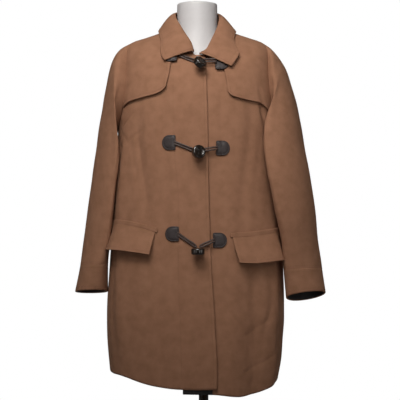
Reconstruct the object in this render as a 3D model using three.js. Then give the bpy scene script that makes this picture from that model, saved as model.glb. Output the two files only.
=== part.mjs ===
// A duffle coat on a limbless dress form, which stands on a pole and a round base.
// Millimetres, +Z up. The coat's front faces -Y. The origin is the centre of the base's underside.
import * as THREE from "three";
import { mergeVertices } from "three/addons/utils/BufferGeometryUtils.js";

// Cloth
const CLOTH = 3; // lined wool coating
const LINING = 1;
const SEAM = 0.3; // gap between two sewn pieces
const LAID = 0.7; // gap below a piece that lies on another

// Coat
const COAT_X = -16; // the coat's middle, beside the pole
const HEM = 640; // levels are heights at the side, above the floor
const UNDERARM = 1235;
const SHOULDER = 1450; // top of the armhole
const NECK = 1483;
const ARMHOLE_ANGLE = 27; // degrees, half of the armhole's width round the body
const UNDERLAP = -25; // where the under front ends, behind the over front
const UNDERLAP_SEAM = 9; // its facing starts this far behind the over front's edge
const LAP_LIFT = 4; // the over front lies this far out over the under front
const UNDER_HANG = 13; // the under front hangs lower than the over front
const SIDE_HANG = 19; // and its side still lower

// Mesh steps
const SKIRT_ROWS = 9;
const ARMHOLE_ROWS = 10;
const SHOULDER_ROWS = 3;
const SLEEVE_ROWS = 16;

const group = new THREE.Group();
const coat = new THREE.Group();
coat.position.x = COAT_X;
group.add(coat);

const paint = (color, roughness, metalness = 0) => ({ color, roughness, metalness });
const WOOL = paint(0x7d5944, 0.95);
const BLACK_LINING = paint(0x15100f, 0.6);
const LEATHER = paint(0x3a2d28, 0.5);
const CORD = paint(0x4a352b, 0.55);
const HORN = paint(0x14100d, 0.2);
const FORM_SKIN = paint(0xd9d6d6, 0.5);
const STEEL = paint(0x54504c, 0.3, 1);

function add(parent, name, geometry, look) {
  geometry.deleteAttribute("normal");
  geometry.deleteAttribute("uv");
  const mesh = new THREE.Mesh(mergeVertices(geometry, 1e-3), new THREE.MeshStandardMaterial(look));
  mesh.name = name;
  parent.add(mesh);
  return mesh;
}

// Numbers
const radians = (degrees) => (degrees * Math.PI) / 180;
const degrees = (angle) => (angle * 180) / Math.PI;
const mix = (a, b, t) => a + (b - a) * t;
const clamp = (x, low, high) => Math.min(Math.max(x, low), high);
const ramp = (x, from, to) => THREE.MathUtils.smoothstep((x - from) / (to - from), 0, 1);
const bell = (x, width) => Math.exp(-((x / width) ** 2));
const steps = (from, to, count) => Array.from({ length: count + 1 }, (_, i) => mix(from, to, i / count));

// A table whose first column rises, read as smooth functions of that column
function smoothTable(names, rows) {
  const slope = (k, c) => {
    const before = rows[Math.max(k - 1, 0)];
    const after = rows[Math.min(k + 1, rows.length - 1)];
    return (after[c] - before[c]) / (after[0] - before[0]);
  };
  return (key) => {
    const x = clamp(key, rows[0][0], rows.at(-1)[0]);
    const k = clamp(rows.findIndex((row) => x <= row[0]) - 1, 0, rows.length - 2);
    const span = rows[k + 1][0] - rows[k][0];
    const t = (x - rows[k][0]) / span;
    const value = (c) => {
      const bend0 = slope(k, c) * span * (t ** 3 - 2 * t ** 2 + t);
      const bend1 = slope(k + 1, c) * span * (t ** 3 - t ** 2);
      return mix(rows[k][c], rows[k + 1][c], 3 * t ** 2 - 2 * t ** 3) + bend0 + bend1;
    };
    return Object.fromEntries(names.map((name, c) => [name, value(c)]));
  };
}

// Surfaces are functions of two numbers; the normal comes from small steps along them
function normalOf(surface, a, b, stepA, stepB) {
  const alongA = surface(a + stepA, b).sub(surface(a - stepA, b));
  const alongB = surface(a, b + stepB).sub(surface(a, b - stepB));
  return alongA.cross(alongB).normalize();
}

// A closed wall over a grid of places. Each place gives its outer and inner point.
// A closed wall goes all round.
function wall(rows, closed = false) {
  const high = rows.length;
  const wide = rows[0].length;
  const position = [];
  const index = [];
  for (const face of ["outer", "inner"]) {
    rows.forEach((row) => row.forEach((place) => position.push(...place[face].toArray())));
  }
  const at = (side, r, c) => side * high * wide + r * wide + (c % wide);
  const quad = (a, b, c, d) => index.push(a, b, c, a, c, d);
  const columns = closed ? wide : wide - 1;
  for (let c = 0; c < columns; c += 1) {
    for (let r = 0; r < high - 1; r += 1) {
      quad(at(0, r, c), at(0, r, c + 1), at(0, r + 1, c + 1), at(0, r + 1, c));
      quad(at(1, r, c), at(1, r + 1, c), at(1, r + 1, c + 1), at(1, r, c + 1));
    }
    quad(at(1, 0, c), at(1, 0, c + 1), at(0, 0, c + 1), at(0, 0, c));
    quad(at(0, high - 1, c), at(0, high - 1, c + 1), at(1, high - 1, c + 1), at(1, high - 1, c));
  }
  for (let r = 0; r < high - 1 && !closed; r += 1) {
    quad(at(0, r, 0), at(0, r + 1, 0), at(1, r + 1, 0), at(1, r, 0));
    quad(at(1, r, wide - 1), at(1, r + 1, wide - 1), at(0, r + 1, wide - 1), at(0, r, wide - 1));
  }
  return facingOut(position, index);
}

// A closed loft over rings of points, with a point at the middle of each end
function loft(rings) {
  const around = rings[0].length;
  const position = rings.flat().flatMap((point) => point.toArray());
  const index = [];
  const middle = (ring) => ring.reduce((sum, p) => sum.add(p), new THREE.Vector3()).divideScalar(around);
  rings.slice(1).forEach((_, r) => {
    for (let c = 0; c < around; c += 1) {
      const [a, b] = [r * around + c, r * around + ((c + 1) % around)];
      index.push(a, b, b + around, a, b + around, a + around);
    }
  });
  const first = position.length / 3;
  position.push(...middle(rings[0]).toArray(), ...middle(rings.at(-1)).toArray());
  const last = (rings.length - 1) * around;
  for (let c = 0; c < around; c += 1) {
    index.push(first, (c + 1) % around, c);
    index.push(first + 1, last + c, last + ((c + 1) % around));
  }
  return facingOut(position, index);
}

// Turns every face over when the enclosed volume comes out negative
function facingOut(position, index) {
  const point = (i) => new THREE.Vector3(...position.slice(3 * i, 3 * i + 3));
  let volume = 0;
  for (let i = 0; i < index.length; i += 3) {
    volume += point(index[i]).dot(point(index[i + 1]).cross(point(index[i + 2])));
  }
  const geometry = new THREE.BufferGeometry();
  geometry.setAttribute("position", new THREE.Float32BufferAttribute(position, 3));
  geometry.setIndex(volume > 0 ? index : index.reverse());
  return geometry;
}

// Rings of the coat's body. level: height at the side. wide, front, back: half-sizes. square: how full
// the section is between them. shift: the ring's middle. dropFront, dropBack: how much lower the ring is
// there than at the side.
const bodyRing = smoothTable(
  ["level", "wide", "front", "back", "square", "shift", "dropFront", "dropBack"],
  [
    [640, 210, 148, 148, 0.06, -8, 35, 30],
    [685, 216, 150, 148, 0.06, -6, 24, 20],
    [735, 219, 151, 147, 0.06, -6, 15, 12],
    [785, 221, 151, 145, 0.06, -4, 10, 6],
    [885, 217, 147, 140, 0.06, -2, 2, 0],
    [985, 212, 142, 134, 0.06, -1, 0, 0],
    [1100, 205, 137, 129, 0.05, -1, 0, 0],
    [1235, 197, 134, 130, 0.05, 0, 4, 0],
    [1300, 193, 130, 131, 0.05, 0, 14, 0],
    [1350, 188, 124, 130, 0.05, 0, 26, 0],
    [1400, 182, 114, 126, 0.04, 0, 43, 2],
    [1435, 174, 104, 117, 0.03, 0, 57, 4],
    [1450, 160, 99, 111, 0.02, 0, 63, 5],
    [1460, 131, 94, 101, 0.01, 0, 66, 5],
    [1470, 102, 87, 88, 0, 0, 69, 5],
    [1477, 83, 82, 78, 0, 0, 71, 5],
    [1483, 64, 78, 68, 0, 0, 72, 5],
  ],
);
const DROP_POWER = 1.5;

// Folds of the body: from (angle, level) to (angle, level), with half-width and depth.
// A negative depth is a ridge.
// Angles are from centre front, positive to the wearer's left.
const BODY_FOLDS = [
  { from: [-44, 1215], to: [-34, 1050], width: 16, depth: 5 },
  { from: [-60, 1090], to: [-52, 800], width: 26, depth: -5 },
  { from: [20, 860], to: [22, 600], width: 30, depth: -6 },
  { from: [38, 900], to: [40, 600], width: 20, depth: 6 },
  { from: [56, 930], to: [57, 600], width: 24, depth: -5 },
  { from: [40, 1240], to: [30, 1040], width: 18, depth: 4 },
  { from: [150, 1100], to: [146, 600], width: 40, depth: 7 },
  { from: [-150, 1100], to: [-148, 600], width: 40, depth: 7 },
  { from: [112, 1120], to: [116, 600], width: 34, depth: -6 },
  { from: [-112, 1120], to: [-116, 600], width: 34, depth: -6 },
];
const FOLD_FADE = 90; // a fold dies away over this length past its ends

function foldDepth(folds, angle, level, arc) {
  return folds.reduce((sum, fold) => {
    const [a0, l0] = fold.from;
    const [a1, l1] = fold.to;
    const t = (level - l0) / (l1 - l0);
    const past = Math.max(-t, t - 1, 0) * Math.abs(l1 - l0);
    const away = (angle - mix(a0, a1, clamp(t, 0, 1))) * arc;
    return sum + fold.depth * bell(away, fold.width) * bell(past, FOLD_FADE);
  }, 0);
}

// A point of the coat's outside. angle: from centre front, in degrees, positive to the wearer's left.
function bodyPoint(angle, level) {
  const ring = bodyRing(level);
  const sin = Math.sin(radians(angle));
  const cos = Math.cos(radians(angle));
  const depth = cos > 0 ? ring.front : ring.back;
  const drop = cos > 0 ? ring.dropFront : ring.dropBack;
  const full = 1 + ring.square * Math.sin(radians(2 * angle)) ** 2;
  const fold = foldDepth(BODY_FOLDS, angle, level, (ring.wide * Math.PI) / 180);
  const out = full - fold / Math.hypot(ring.wide * sin, depth * cos);
  const z = level - drop * Math.abs(cos) ** DROP_POWER;
  return new THREE.Vector3(ring.shift + ring.wide * sin * out, -depth * cos * out, z);
}

// The same point moved out along the surface's normal, and lowered by hang where the cloth hangs longer
function bodyPlace(angle, level, lift, hang = 0) {
  const normal = normalOf(bodyPoint, angle, level, 0.5, 1);
  const lower = hang * ramp(level, UNDERARM, HEM);
  return bodyPoint(angle, level).addScaledVector(normal, lift).add(new THREE.Vector3(0, 0, -lower));
}

// The angle at which the body is a given distance beside its middle
const angleAt = (x, level) => degrees(Math.asin(clamp(x / bodyRing(level).wide, -1, 1)));
// The angle that a given length takes up at the side of the body
const gapAngle = (length, level) => degrees(length / bodyRing(level).wide);

const ARMHOLE_MIDDLE = (UNDERARM + SHOULDER) / 2;
const ARMHOLE_HALF = (SHOULDER - UNDERARM) / 2;
const armholeLevel = (turn) => ARMHOLE_MIDDLE + ARMHOLE_HALF * Math.cos(radians(turn));

// How far a panel's side falls short of 90 degrees: by the armhole and by its share of the seam's gap
function notch(level, inset = SEAM / 2) {
  const across = clamp((level - ARMHOLE_MIDDLE) / ARMHOLE_HALF, -1, 1);
  return ARMHOLE_ANGLE * Math.sqrt(1 - across ** 2) + gapAngle(inset, level);
}

// How far the over front reaches past the middle
const edgeTable = smoothTable(
  ["level", "x"],
  [[640, 53], [715, 50], [815, 41.5], [928, 33], [1084, 28], [1250, 24.5], [1450, 20], [1483, 20]],
);
const overEdge = (level) => edgeTable(level).x;
const bodyLevels = [
  ...steps(HEM, UNDERARM, SKIRT_ROWS),
  ...steps(180, 0, ARMHOLE_ROWS).slice(1).map(armholeLevel),
  ...steps(SHOULDER, NECK, SHOULDER_ROWS).slice(1),
];
const flat = () => 0;

// The over front is on the wearer's right and reaches past the middle, lifted where it laps over
const overLift = (angle, level) => (
  LAP_LIFT * ramp(angle, angleAt(UNDERLAP - 60, level), angleAt(UNDERLAP - 20, level))
);
const underHang = (angle) => (
  mix(UNDER_HANG, SIDE_HANG, clamp(angle / 90, 0, 1)) + 7.5 * bell(angle - 36, 18) - 6 * ramp(angle, 32, 12)
);
const overHang = (angle) => -9 * bell(angle + 52, 20) - 4.5 * ramp(angle, -70, -42);
const backHang = (angle) => SIDE_HANG * Math.max(Math.sin(radians(angle)), 0) ** 2;

// Panels. from, to: the angles of their two sides at a level; notched: which side gives way to the armhole.
const facingEnd = (level) => angleAt(overEdge(level) - UNDERLAP_SEAM, level);
const panels = {
  over: {
    name: "front_over", look: WOOL, columns: 11, sign: -1, notched: { from: 1, to: 0 }, lift: overLift,
    hang: overHang,
    from: () => -90, to: (level) => angleAt(overEdge(level), level),
  },
  under: {
    name: "front_under", look: WOOL, columns: 8, sign: 1, notched: { from: 0, to: 1 }, lift: flat,
    hang: underHang,
    from: (level) => facingEnd(level) + gapAngle(SEAM, level), to: () => 90,
  },
  facing: {
    name: "underlap_facing", look: BLACK_LINING, columns: 2, sign: 1, notched: { from: 0, to: 0 }, lift: flat,
    hang: underHang, from: (level) => angleAt(UNDERLAP, level), to: facingEnd,
  },
  back: {
    name: "back", look: WOOL, columns: 16, sign: 1, notched: { from: 1, to: 1 }, lift: flat, hang: backHang,
    from: () => 90, to: () => 270,
  },
};
const sides = { over: panels.over, under: panels.under };

// Columns keep to even angles, and only those near the armhole give way to it
function columnAngle(part, u, level) {
  const give = notch(level) * (part.notched.from * (1 - u) ** 2 - part.notched.to * u ** 2);
  return mix(part.from(level), part.to(level), u) + give;
}

function panelPlace(part, u, level, lift) {
  const angle = columnAngle(part, u, level);
  return bodyPlace(angle, level, part.lift(angle, level) + lift, part.hang(angle));
}

function addBody() {
  Object.values(panels).forEach((part) => {
    const rows = bodyLevels.map((level) => steps(0, 1, part.columns).map((u) => ({
      outer: panelPlace(part, u, level, 0),
      inner: panelPlace(part, u, level, -CLOTH),
    })));
    add(coat, part.name, wall(rows), part.look);
  });
}

// The share of the panel's columns at which it reaches an angle
function shareAt(part, angle, level) {
  let [low, high] = [0, 1];
  for (let pass = 0; pass < 24; pass += 1) {
    const middle = (low + high) / 2;
    if (columnAngle(part, middle, level) < angle) low = middle;
    else high = middle;
  }
  return low;
}

// A point over the panel's flat facets, between the four corners around it
function facetPlace(part, u, level, lift) {
  const k = clamp(Math.floor(u * part.columns), 0, part.columns - 1);
  const r = clamp(bodyLevels.findIndex((edge) => level < edge) - 1, 0, bodyLevels.length - 2);
  const side = clamp(u * part.columns - k, 0, 1);
  const up = (level - bodyLevels[r]) / (bodyLevels[r + 1] - bodyLevels[r]);
  const corner = (i, j) => panelPlace(part, (k + i) / part.columns, bodyLevels[r + j], lift);
  return corner(0, 0).lerp(corner(1, 0), side).lerp(corner(0, 1).lerp(corner(1, 1), side), up);
}

// Pieces laid on a front share the panel's columns between their inner edge and their side. angles: of
// the two ends, by share of height and level; levelOf: each row's level, by share across; liftOf: by
// both shares.
const COLUMN_APART = 0.02; // least share of the piece between two of its columns

function laid(side, rows, angles, levelOf, liftOf, thick, shared) {
  const part = sides[side];
  const last = shared.length + 1;
  return wall(steps(0, rows, rows).map((row) => steps(0, last, last).map((i) => {
    const v = row / rows;
    const level = levelOf(i / last, row);
    const [inner, outer] = angles.map((end) => shareAt(part, part.sign * end(v, level), level));
    const here = ((shared[i - 1] ?? 0) / part.columns - inner) / (outer - inner);
    const between = clamp(here, COLUMN_APART * i, 1 - COLUMN_APART * (last - i));
    const u = mix(inner, outer, i === 0 || i === last ? i / last : between);
    const lift = LAID + thick + liftOf(i / last, v);
    return { outer: facetPlace(part, u, level, lift), inner: facetPlace(part, u, level, lift - thick) };
  })));
}

// Storm capes, from a lower edge that steps down to the armhole. inner: the inner edge's distance from
// the middle at a level; its top makes room for the leather tab.
const capes = {
  over: {
    low: smoothTable(["u", "low"], [[0, 1346], [0.15, 1328], [0.5, 1312], [1, 1286]]),
    inner: smoothTable(["level", "x"], [
      [1334, 77], [1376, 70], [1406, 66], [1432, 68], [1447, 92], [1471, 92], [1484, 60],
    ]),
    shared: [6, 5, 4, 3, 2, 1],
  },
  under: {
    low: smoothTable(["u", "low"], [[0, 1345], [0.15, 1324], [0.5, 1306], [1, 1268]]),
    inner: smoothTable(
      ["level", "x"],
      [[1334, 72], [1376, 69], [1408, 67], [1434, 84], [1468, 84], [1484, 60]],
    ),
    shared: [3, 4, 5, 6, 7],
  },
};
const CAPE_SIDE = { over: 5, under: 17 }; // short of the armhole seam
const CAPE_PROUD = 4;
const CAPE_LOW_ROWS = 3;

function addCape(side) {
  const cape = capes[side];
  const levels = bodyLevels.filter((level) => level > 1360 && level < NECK - 5);
  const rows = CAPE_LOW_ROWS + levels.length - 1;
  const low = (u) => cape.low(u).low;
  const levelOf = (u, row) => (row < CAPE_LOW_ROWS
    ? mix(low(u), levels[0], row / CAPE_LOW_ROWS) : levels[row - CAPE_LOW_ROWS]);
  const angles = [
    (v, level) => angleAt(cape.inner(level).x, level),
    (v, level) => 90 - notch(level, CAPE_SIDE[side]),
  ];
  const lowEdge = (u, v) => CAPE_PROUD * Math.max(1 - 2.2 * v, 0) ** 2 * (1 - 0.4 * u);
  const proud = (u, v) => lowEdge(u, v) + 1.5 * bell(u, 0.15) + 1.2 * u ** 4;
  add(coat, `cape_${side}`, laid(side, rows, angles, levelOf, proud, CLOTH, cape.shared), WOOL);
}

// Pocket flaps. inner: the angles of the inner edge, low and high; top, low: levels from that edge to
// the side
const flaps = {
  over: { inner: [29.5, 27], outer: 75, top: [980, 996, 997], low: [930, 935, 938], shared: [6, 5, 4, 3, 2] },
  under: { inner: [25, 22.6], outer: 66, top: [977, 984, 989], low: [921, 924, 929], shared: [2, 3, 4, 5] },
};
const FLAP_ROWS = 4;
const FLAP_PROUD = 9;
const WELT_HIGH = 9;
const WELT_THICK = 2;
const WELT_PAST = 1.5; // degrees past each end of the flap
const arcOf = ([a, b, c]) => (u) => a * (1 - u) * (1 - 2 * u) + 4 * b * u * (1 - u) + c * u * (2 * u - 1);

function addPocket(side) {
  const flap = flaps[side];
  const top = arcOf(flap.top);
  const low = arcOf(flap.low);
  const flapEnds = [(v) => mix(...flap.inner, v), () => flap.outer];
  const flapLevel = (u, row) => mix(low(u), top(u), row / FLAP_ROWS);
  const stands = (u, v) => FLAP_PROUD * (1 - v) ** 1.5 * (1 - ramp(u, 0.45, 1));
  const flapCloth = laid(side, FLAP_ROWS, flapEnds, flapLevel, stands, CLOTH, flap.shared);
  add(coat, `pocket_flap_${side}`, flapCloth, WOOL);
  const weltEnds = [() => flap.inner[1] - WELT_PAST, () => flap.outer + WELT_PAST];
  const weltLevel = (u, row) => top(u) + 2 * SEAM + WELT_HIGH * row;
  const weltCloth = laid(side, 1, weltEnds, weltLevel, () => SEAM, WELT_THICK, flap.shared);
  add(coat, `pocket_welt_${side}`, weltCloth, WOOL);
}

// Sleeves. Each ring is an ellipse: out, fore, level give its middle; lean is its across axis above the
// horizontal; across and deep its half-sizes; turn swings it about the vertical, front end inward; pull
// draws that end further in; foreUp and outUp lift its front and outer ends.
const SLEEVE_COLUMNS = [
  "row", "out", "fore", "level", "lean", "across", "deep", "turn", "pull", "foreUp", "outUp",
];
const CUFF_ROW = 10;
const LAST_ROW = 11;
const sleeveRing = {
  over: smoothTable(SLEEVE_COLUMNS, [
    [0, 182.5, 0, 1342.5, 96.6, 108, 66, 0, 0, 0, 0],
    [1, 195.8, 2, 1330, 92, 106, 70, 0, 0, 0, 0],
    [2, 204.8, 3, 1311.5, 88.2, 101.6, 74, 0, 0, 0, 0],
    [3, 211.8, 3, 1287, 85, 91.4, 76, 0, 0, 0, 0],
    [4, 218, 3, 1252.5, 80.2, 73.7, 78, 0, 0, 0, 0],
    [5, 222.5, 2, 1215, 70.7, 53, 79, 0, 3, 0, 0],
    [6, 228, 0, 1167, 46, 33, 80, 2, 8.5, 0, 0],
    [7, 235.5, 0, 1112, 14, 27.5, 79, 8, 15, 0, 0],
    [8, 244, 0, 1030, 0, 30, 76, 8, 14, 0, 0],
    [9, 252, 4, 955, 0, 32, 70, 7, 11, 3, 0],
    [10, 257, 9, 897, 0, 34, 63, 11, 5, 6, 1],
    [11, 263, 12, 833, 0, 40, 56, 18, 0, 8, 2],
  ]),
  under: smoothTable(SLEEVE_COLUMNS, [
    [0, 182.5, 0, 1342.5, 96.6, 108, 66, 0, 0, 0, 0],
    [1, 192.5, 4, 1330, 93.2, 106, 70, 4, 2, 0, 0],
    [2, 203, 9, 1310.5, 88.6, 100.5, 73, 10, 6, 0, 0],
    [3, 211.5, 18, 1288.5, 83.8, 91, 75, 16, 10, 0, 0],
    [4, 217, 32, 1258, 78, 74, 76, 22, 14, 0, 0],
    [5, 221, 48, 1222, 67, 53, 76, 26, 14, 0, 0],
    [6, 226, 62, 1174, 42, 33.5, 75, 29, 12, 0, 0],
    [7, 235, 68, 1112, 12, 31, 75, 30, 9, 0, 0],
    [8, 247.5, 62, 1030, 0, 33, 74, 30, 8, 0, 0],
    [9, 257, 50, 955, 0, 34, 68, 28, 9, 3, 1],
    [10, 263, 46, 888, 0, 37, 62, 36, 8, 4, 6],
    [11, 270, 46, 825, 0, 41, 56, 40, 8, 5, 14],
  ]),
};
const SLEEVE_SEAM = 108; // degrees round the ring, where topsleeve and undersleeve meet
const CUFF_LINING_ROW = 10.35;

function ringPoint(ring, turn) {
  const [a, f] = [Math.cos(radians(turn)), Math.sin(radians(turn))];
  const [cosTurn, sinTurn] = [Math.cos(radians(ring.turn)), Math.sin(radians(ring.turn))];
  const across = ring.across * a * Math.cos(radians(ring.lean));
  const x = ring.out + across * cosTurn - ring.deep * f * sinTurn - ring.pull * Math.max(f, 0) ** 2;
  const y = ring.fore + across * sinTurn + ring.deep * f * cosTurn;
  const z = ring.level + ring.across * a * Math.sin(radians(ring.lean)) + ring.foreUp * f + ring.outUp * a;
  return new THREE.Vector3(x, -y, z);
}

// A point of the sleeve's outside. turn: 0 at the top and outer side, 90 in front, 180 next to the body.
function sleevePoint(side, turn, row) {
  const { sign } = sides[side];
  const point = ringPoint(sleeveRing[side](row), turn);
  point.x *= sign;
  const start = ringPoint(sleeveRing[side](0), turn);
  start.x *= sign;
  const angle = sign * (90 - ARMHOLE_ANGLE * Math.sin(radians(turn)));
  const seam = bodyPlace(angle, armholeLevel(turn), SEAM);
  return point.addScaledVector(seam.sub(start), Math.max(1 - row / 2, 0) ** 2);
}

function sleevePlace(side, turn, row, lift) {
  const surface = (a, b) => sleevePoint(side, a, clamp(b, 0, LAST_ROW));
  const normal = normalOf(surface, turn, row, 2, 0.02).multiplyScalar(sides[side].sign);
  return surface(turn, row).addScaledVector(normal, lift);
}

function sleevePiece(side, turns, rows, lift, thick) {
  return rows.map((row) => turns.map((turn) => ({
    outer: sleevePlace(side, turn, row, lift),
    inner: sleevePlace(side, turn, row, lift - thick),
  })));
}

function addSleeve(side) {
  const sleeveRows = steps(0, CUFF_ROW, SLEEVE_ROWS);
  const seamTurn = 0.2; // degrees, half of the seam's gap
  const top = steps(-SLEEVE_SEAM + seamTurn, SLEEVE_SEAM - seamTurn, 12);
  const under = steps(SLEEVE_SEAM + seamTurn, 360 - SLEEVE_SEAM - seamTurn, 8);
  add(coat, `topsleeve_${side}`, wall(sleevePiece(side, top, sleeveRows, 0, CLOTH)), WOOL);
  add(coat, `undersleeve_${side}`, wall(sleevePiece(side, under, sleeveRows, 0, CLOTH)), WOOL);
  const around = steps(0, 360, 20).slice(0, -1);
  const cuffRows = steps(CUFF_ROW + 0.01, LAST_ROW, 2);
  add(coat, `cuff_${side}`, wall(sleevePiece(side, around, cuffRows, 0, CLOTH), true), WOOL);
  const liningRows = steps(CUFF_LINING_ROW, LAST_ROW - 0.02, 1);
  const lining = sleevePiece(side, around, liningRows, -CLOTH - 2 * SEAM, LINING);
  add(coat, `cuff_lining_${side}`, wall(lining, true), BLACK_LINING);
}

// Collar. roll: the folded top edge, by its angle, radius and height; edge: the fall's free edge, by its
// angle and level on the body and its height above it. From the over front's tip round the back to the
// under front's tip.
const collarRing = smoothTable(
  ["at", "rollAngle", "rollRadius", "rollHeight", "edgeAngle", "edgeLevel", "edgeLift"],
  [
    [0, -6, 89, 1421, -26.5, 1443, 13],
    [1, -12, 83, 1445, -33, 1453, 12],
    [2, -26.6, 72, 1469, -42, 1463, 11],
    [3, -48, 62, 1494, -58, 1471, 9],
    [4, -80, 58, 1517, -88, 1473.5, 8],
    [5, -115, 59.5, 1530, -120, 1471, 7],
    [6, -149, 62, 1535, -152, 1463, 6],
    [7, -180, 62, 1536, -180, 1457, 6],
    [8, -211, 62, 1535, -208, 1463, 6],
    [9, -245, 59.5, 1527, -240, 1471, 7],
    [10, -280, 59, 1508, -272, 1473, 8],
    [11, -310, 65, 1479, -298, 1471.5, 9],
    [12, -330.6, 73.5, 1450, -320, 1463, 11],
    [13, -343, 82, 1427, -331, 1446, 13],
    [14, -356, 91, 1415, -336, 1426, 14],
  ],
);
const COLLAR_LAST = 14;
const FALL_THICK = 4; // two layers and their interlining
const ROLL_OUT = 12;
const ROLL_UP = 5;

function rollPoint(ring, radius = ring.rollRadius, down = 0) {
  const angle = radians(ring.rollAngle);
  return new THREE.Vector3(radius * Math.sin(angle), -radius * Math.cos(angle), ring.rollHeight - down);
}

function fallPoint(at, v) {
  const ring = collarRing(at);
  const start = rollPoint(ring, ring.rollRadius - CLOTH);
  const middle = rollPoint(ring, ring.rollRadius + ROLL_OUT, -ROLL_UP);
  const end = bodyPlace(ring.edgeAngle, ring.edgeLevel, ring.edgeLift);
  return new THREE.QuadraticBezierCurve3(start, middle, end).getPoint(v);
}

function fallPlace(at, v, lift) {
  const surface = (a, b) => fallPoint(clamp(a, 0, COLLAR_LAST), clamp(b, 0, 1));
  const normal = normalOf(surface, at, v, 0.02, 0.01);
  return surface(at, v).addScaledVector(normal, (Math.sign(normal.z) || 1) * lift);
}

// The stand runs from the neckline up to the underside of the fall. It stops where the over front covers
// the neckline.
const STAND_END = 12.7;
const STAND_GAP = 1.3;
const footLift = (angle) => (angle > -180 ? overLift(angle, NECK) : 0) + STAND_GAP;

function addCollar() {
  const fall = steps(0, COLLAR_LAST, 28).map((at) => steps(0, 1, 5).map((v) => ({
    outer: fallPlace(at, v, FALL_THICK / 2),
    inner: fallPlace(at, v, -FALL_THICK / 2),
  })));
  add(coat, "collar_fall", wall(fall), WOOL);
  const stand = steps(0, STAND_END, 26).map((at) => {
    const angle = collarRing(at).rollAngle;
    const foot = bodyPlace(angle, NECK, footLift(angle));
    foot.z += STAND_GAP / 2;
    const inward = new THREE.Vector3(-foot.x, -foot.y, 0).setLength(CLOTH);
    const under = -FALL_THICK / 2 - STAND_GAP;
    const [outerHead, innerHead] = [fallPlace(at, 0.1, under), fallPlace(at, 0, under)];
    return steps(0, 1, 2).map((v) => ({
      outer: foot.clone().lerp(outerHead, v),
      inner: foot.clone().add(inward).lerp(innerHead, v),
    }));
  });
  add(coat, "collar_stand", wall(stand), WOOL);
}

// Places on a front by their distance from the middle and their height
function frontPlace(side, x, z, lift) {
  const { sign, lift: base, hang } = sides[side];
  let level = z;
  let angle = 0;
  for (let pass = 0; pass < 30; pass += 1) {
    const ring = bodyRing(level);
    const full = 1 + ring.square * Math.sin(radians(2 * angle)) ** 2;
    angle = degrees(Math.asin(clamp((x - ring.shift) / (ring.wide * full), -1, 1)));
    const drop = ring.dropFront * Math.cos(radians(angle)) ** DROP_POWER;
    level = mix(level, z + drop + hang(angle) * ramp(level, UNDERARM, HEM), 0.5);
  }
  return bodyPlace(angle, level, base(angle, level) + lift, hang(angle));
}

// Turns a piece so that its +Z stands out of the cloth at a place and its +Y points up
function seat(mesh, side, x, z, lift) {
  const here = frontPlace(side, x, z, lift);
  const right = frontPlace(side, x + 8, z, lift).sub(frontPlace(side, x - 8, z, lift)).normalize();
  const up = frontPlace(side, x, z + 8, lift).sub(frontPlace(side, x, z - 8, lift)).normalize();
  const out = right.clone().cross(up).normalize();
  mesh.matrixAutoUpdate = false;
  mesh.matrix.makeBasis(right, out.clone().cross(right), out).setPosition(here);
}

const TAB_WIDE = 33;
const TAB_HIGH = 36;
const TAB_THICK = 3.4;
const TAB_BEVEL = 0.9;
const TAB_LAID = 0.5;
const CORD_RADIUS = 2.3;
const CORD_SPREAD = 3; // from the middle line to each strand
const CORD_LIFT = 3;
const LOOP_LIFT = 8;
const LOOP_REACH = 9; // the loop turns this far beyond the toggle's middle
const TOGGLE_RADIUS = 16;
const TOGGLE_THICK = 14;

// Fastenings, top to bottom. x and z of each tab and toggle; tip: the disc's axis from straight ahead
// towards up; swing: the same towards the wearer's left; lift: its middle above the cloth.
const fastenings = [
  { name: "top", over: [-65, 1408], under: [60, 1390], toggle: [7, 1375], tip: 20, swing: 40, lift: 24.4 },
  {
    name: "middle", over: [-67, 1197], under: [61.5, 1184], toggle: [3.6, 1173.5],
    tip: 8, swing: 22, lift: 21,
  },
  { name: "bottom", over: [-59, 979], under: [54, 964], toggle: [2, 938.6], tip: 88, swing: 0, lift: 27 },
];

function tabGeometry() {
  const half = TAB_HIGH / 2 - TAB_BEVEL;
  const straight = TAB_WIDE / 2 - TAB_BEVEL;
  const round = 4;
  const shape = new THREE.Shape();
  shape.moveTo(straight, -half + round);
  shape.lineTo(straight, half - round);
  shape.quadraticCurveTo(straight, half, straight - round, half);
  shape.lineTo(0, half);
  shape.absellipse(0, 0, straight, half, Math.PI / 2, (3 * Math.PI) / 2, false);
  shape.lineTo(straight - round, -half);
  shape.quadraticCurveTo(straight, -half, straight, -half + round);
  const geometry = new THREE.ExtrudeGeometry(shape, {
    depth: TAB_THICK - 2 * TAB_BEVEL, bevelThickness: TAB_BEVEL, bevelSize: TAB_BEVEL,
    bevelSegments: 1, curveSegments: 4,
  });
  return geometry.translate(0, 0, TAB_BEVEL);
}

function toggleGeometry() {
  const [r, h] = [TOGGLE_RADIUS, TOGGLE_THICK / 2];
  const half = [[0, h], [0.7 * r, h], [0.93 * r, 0.75 * h], [r, 0.3 * h]];
  const lower = half.map(([x, y]) => new THREE.Vector2(x, -y));
  const upper = half.map(([x, y]) => new THREE.Vector2(x, y)).reverse();
  const profile = [...lower, ...upper];
  return new THREE.LatheGeometry(profile, 16).rotateX(Math.PI / 2);
}

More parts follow.
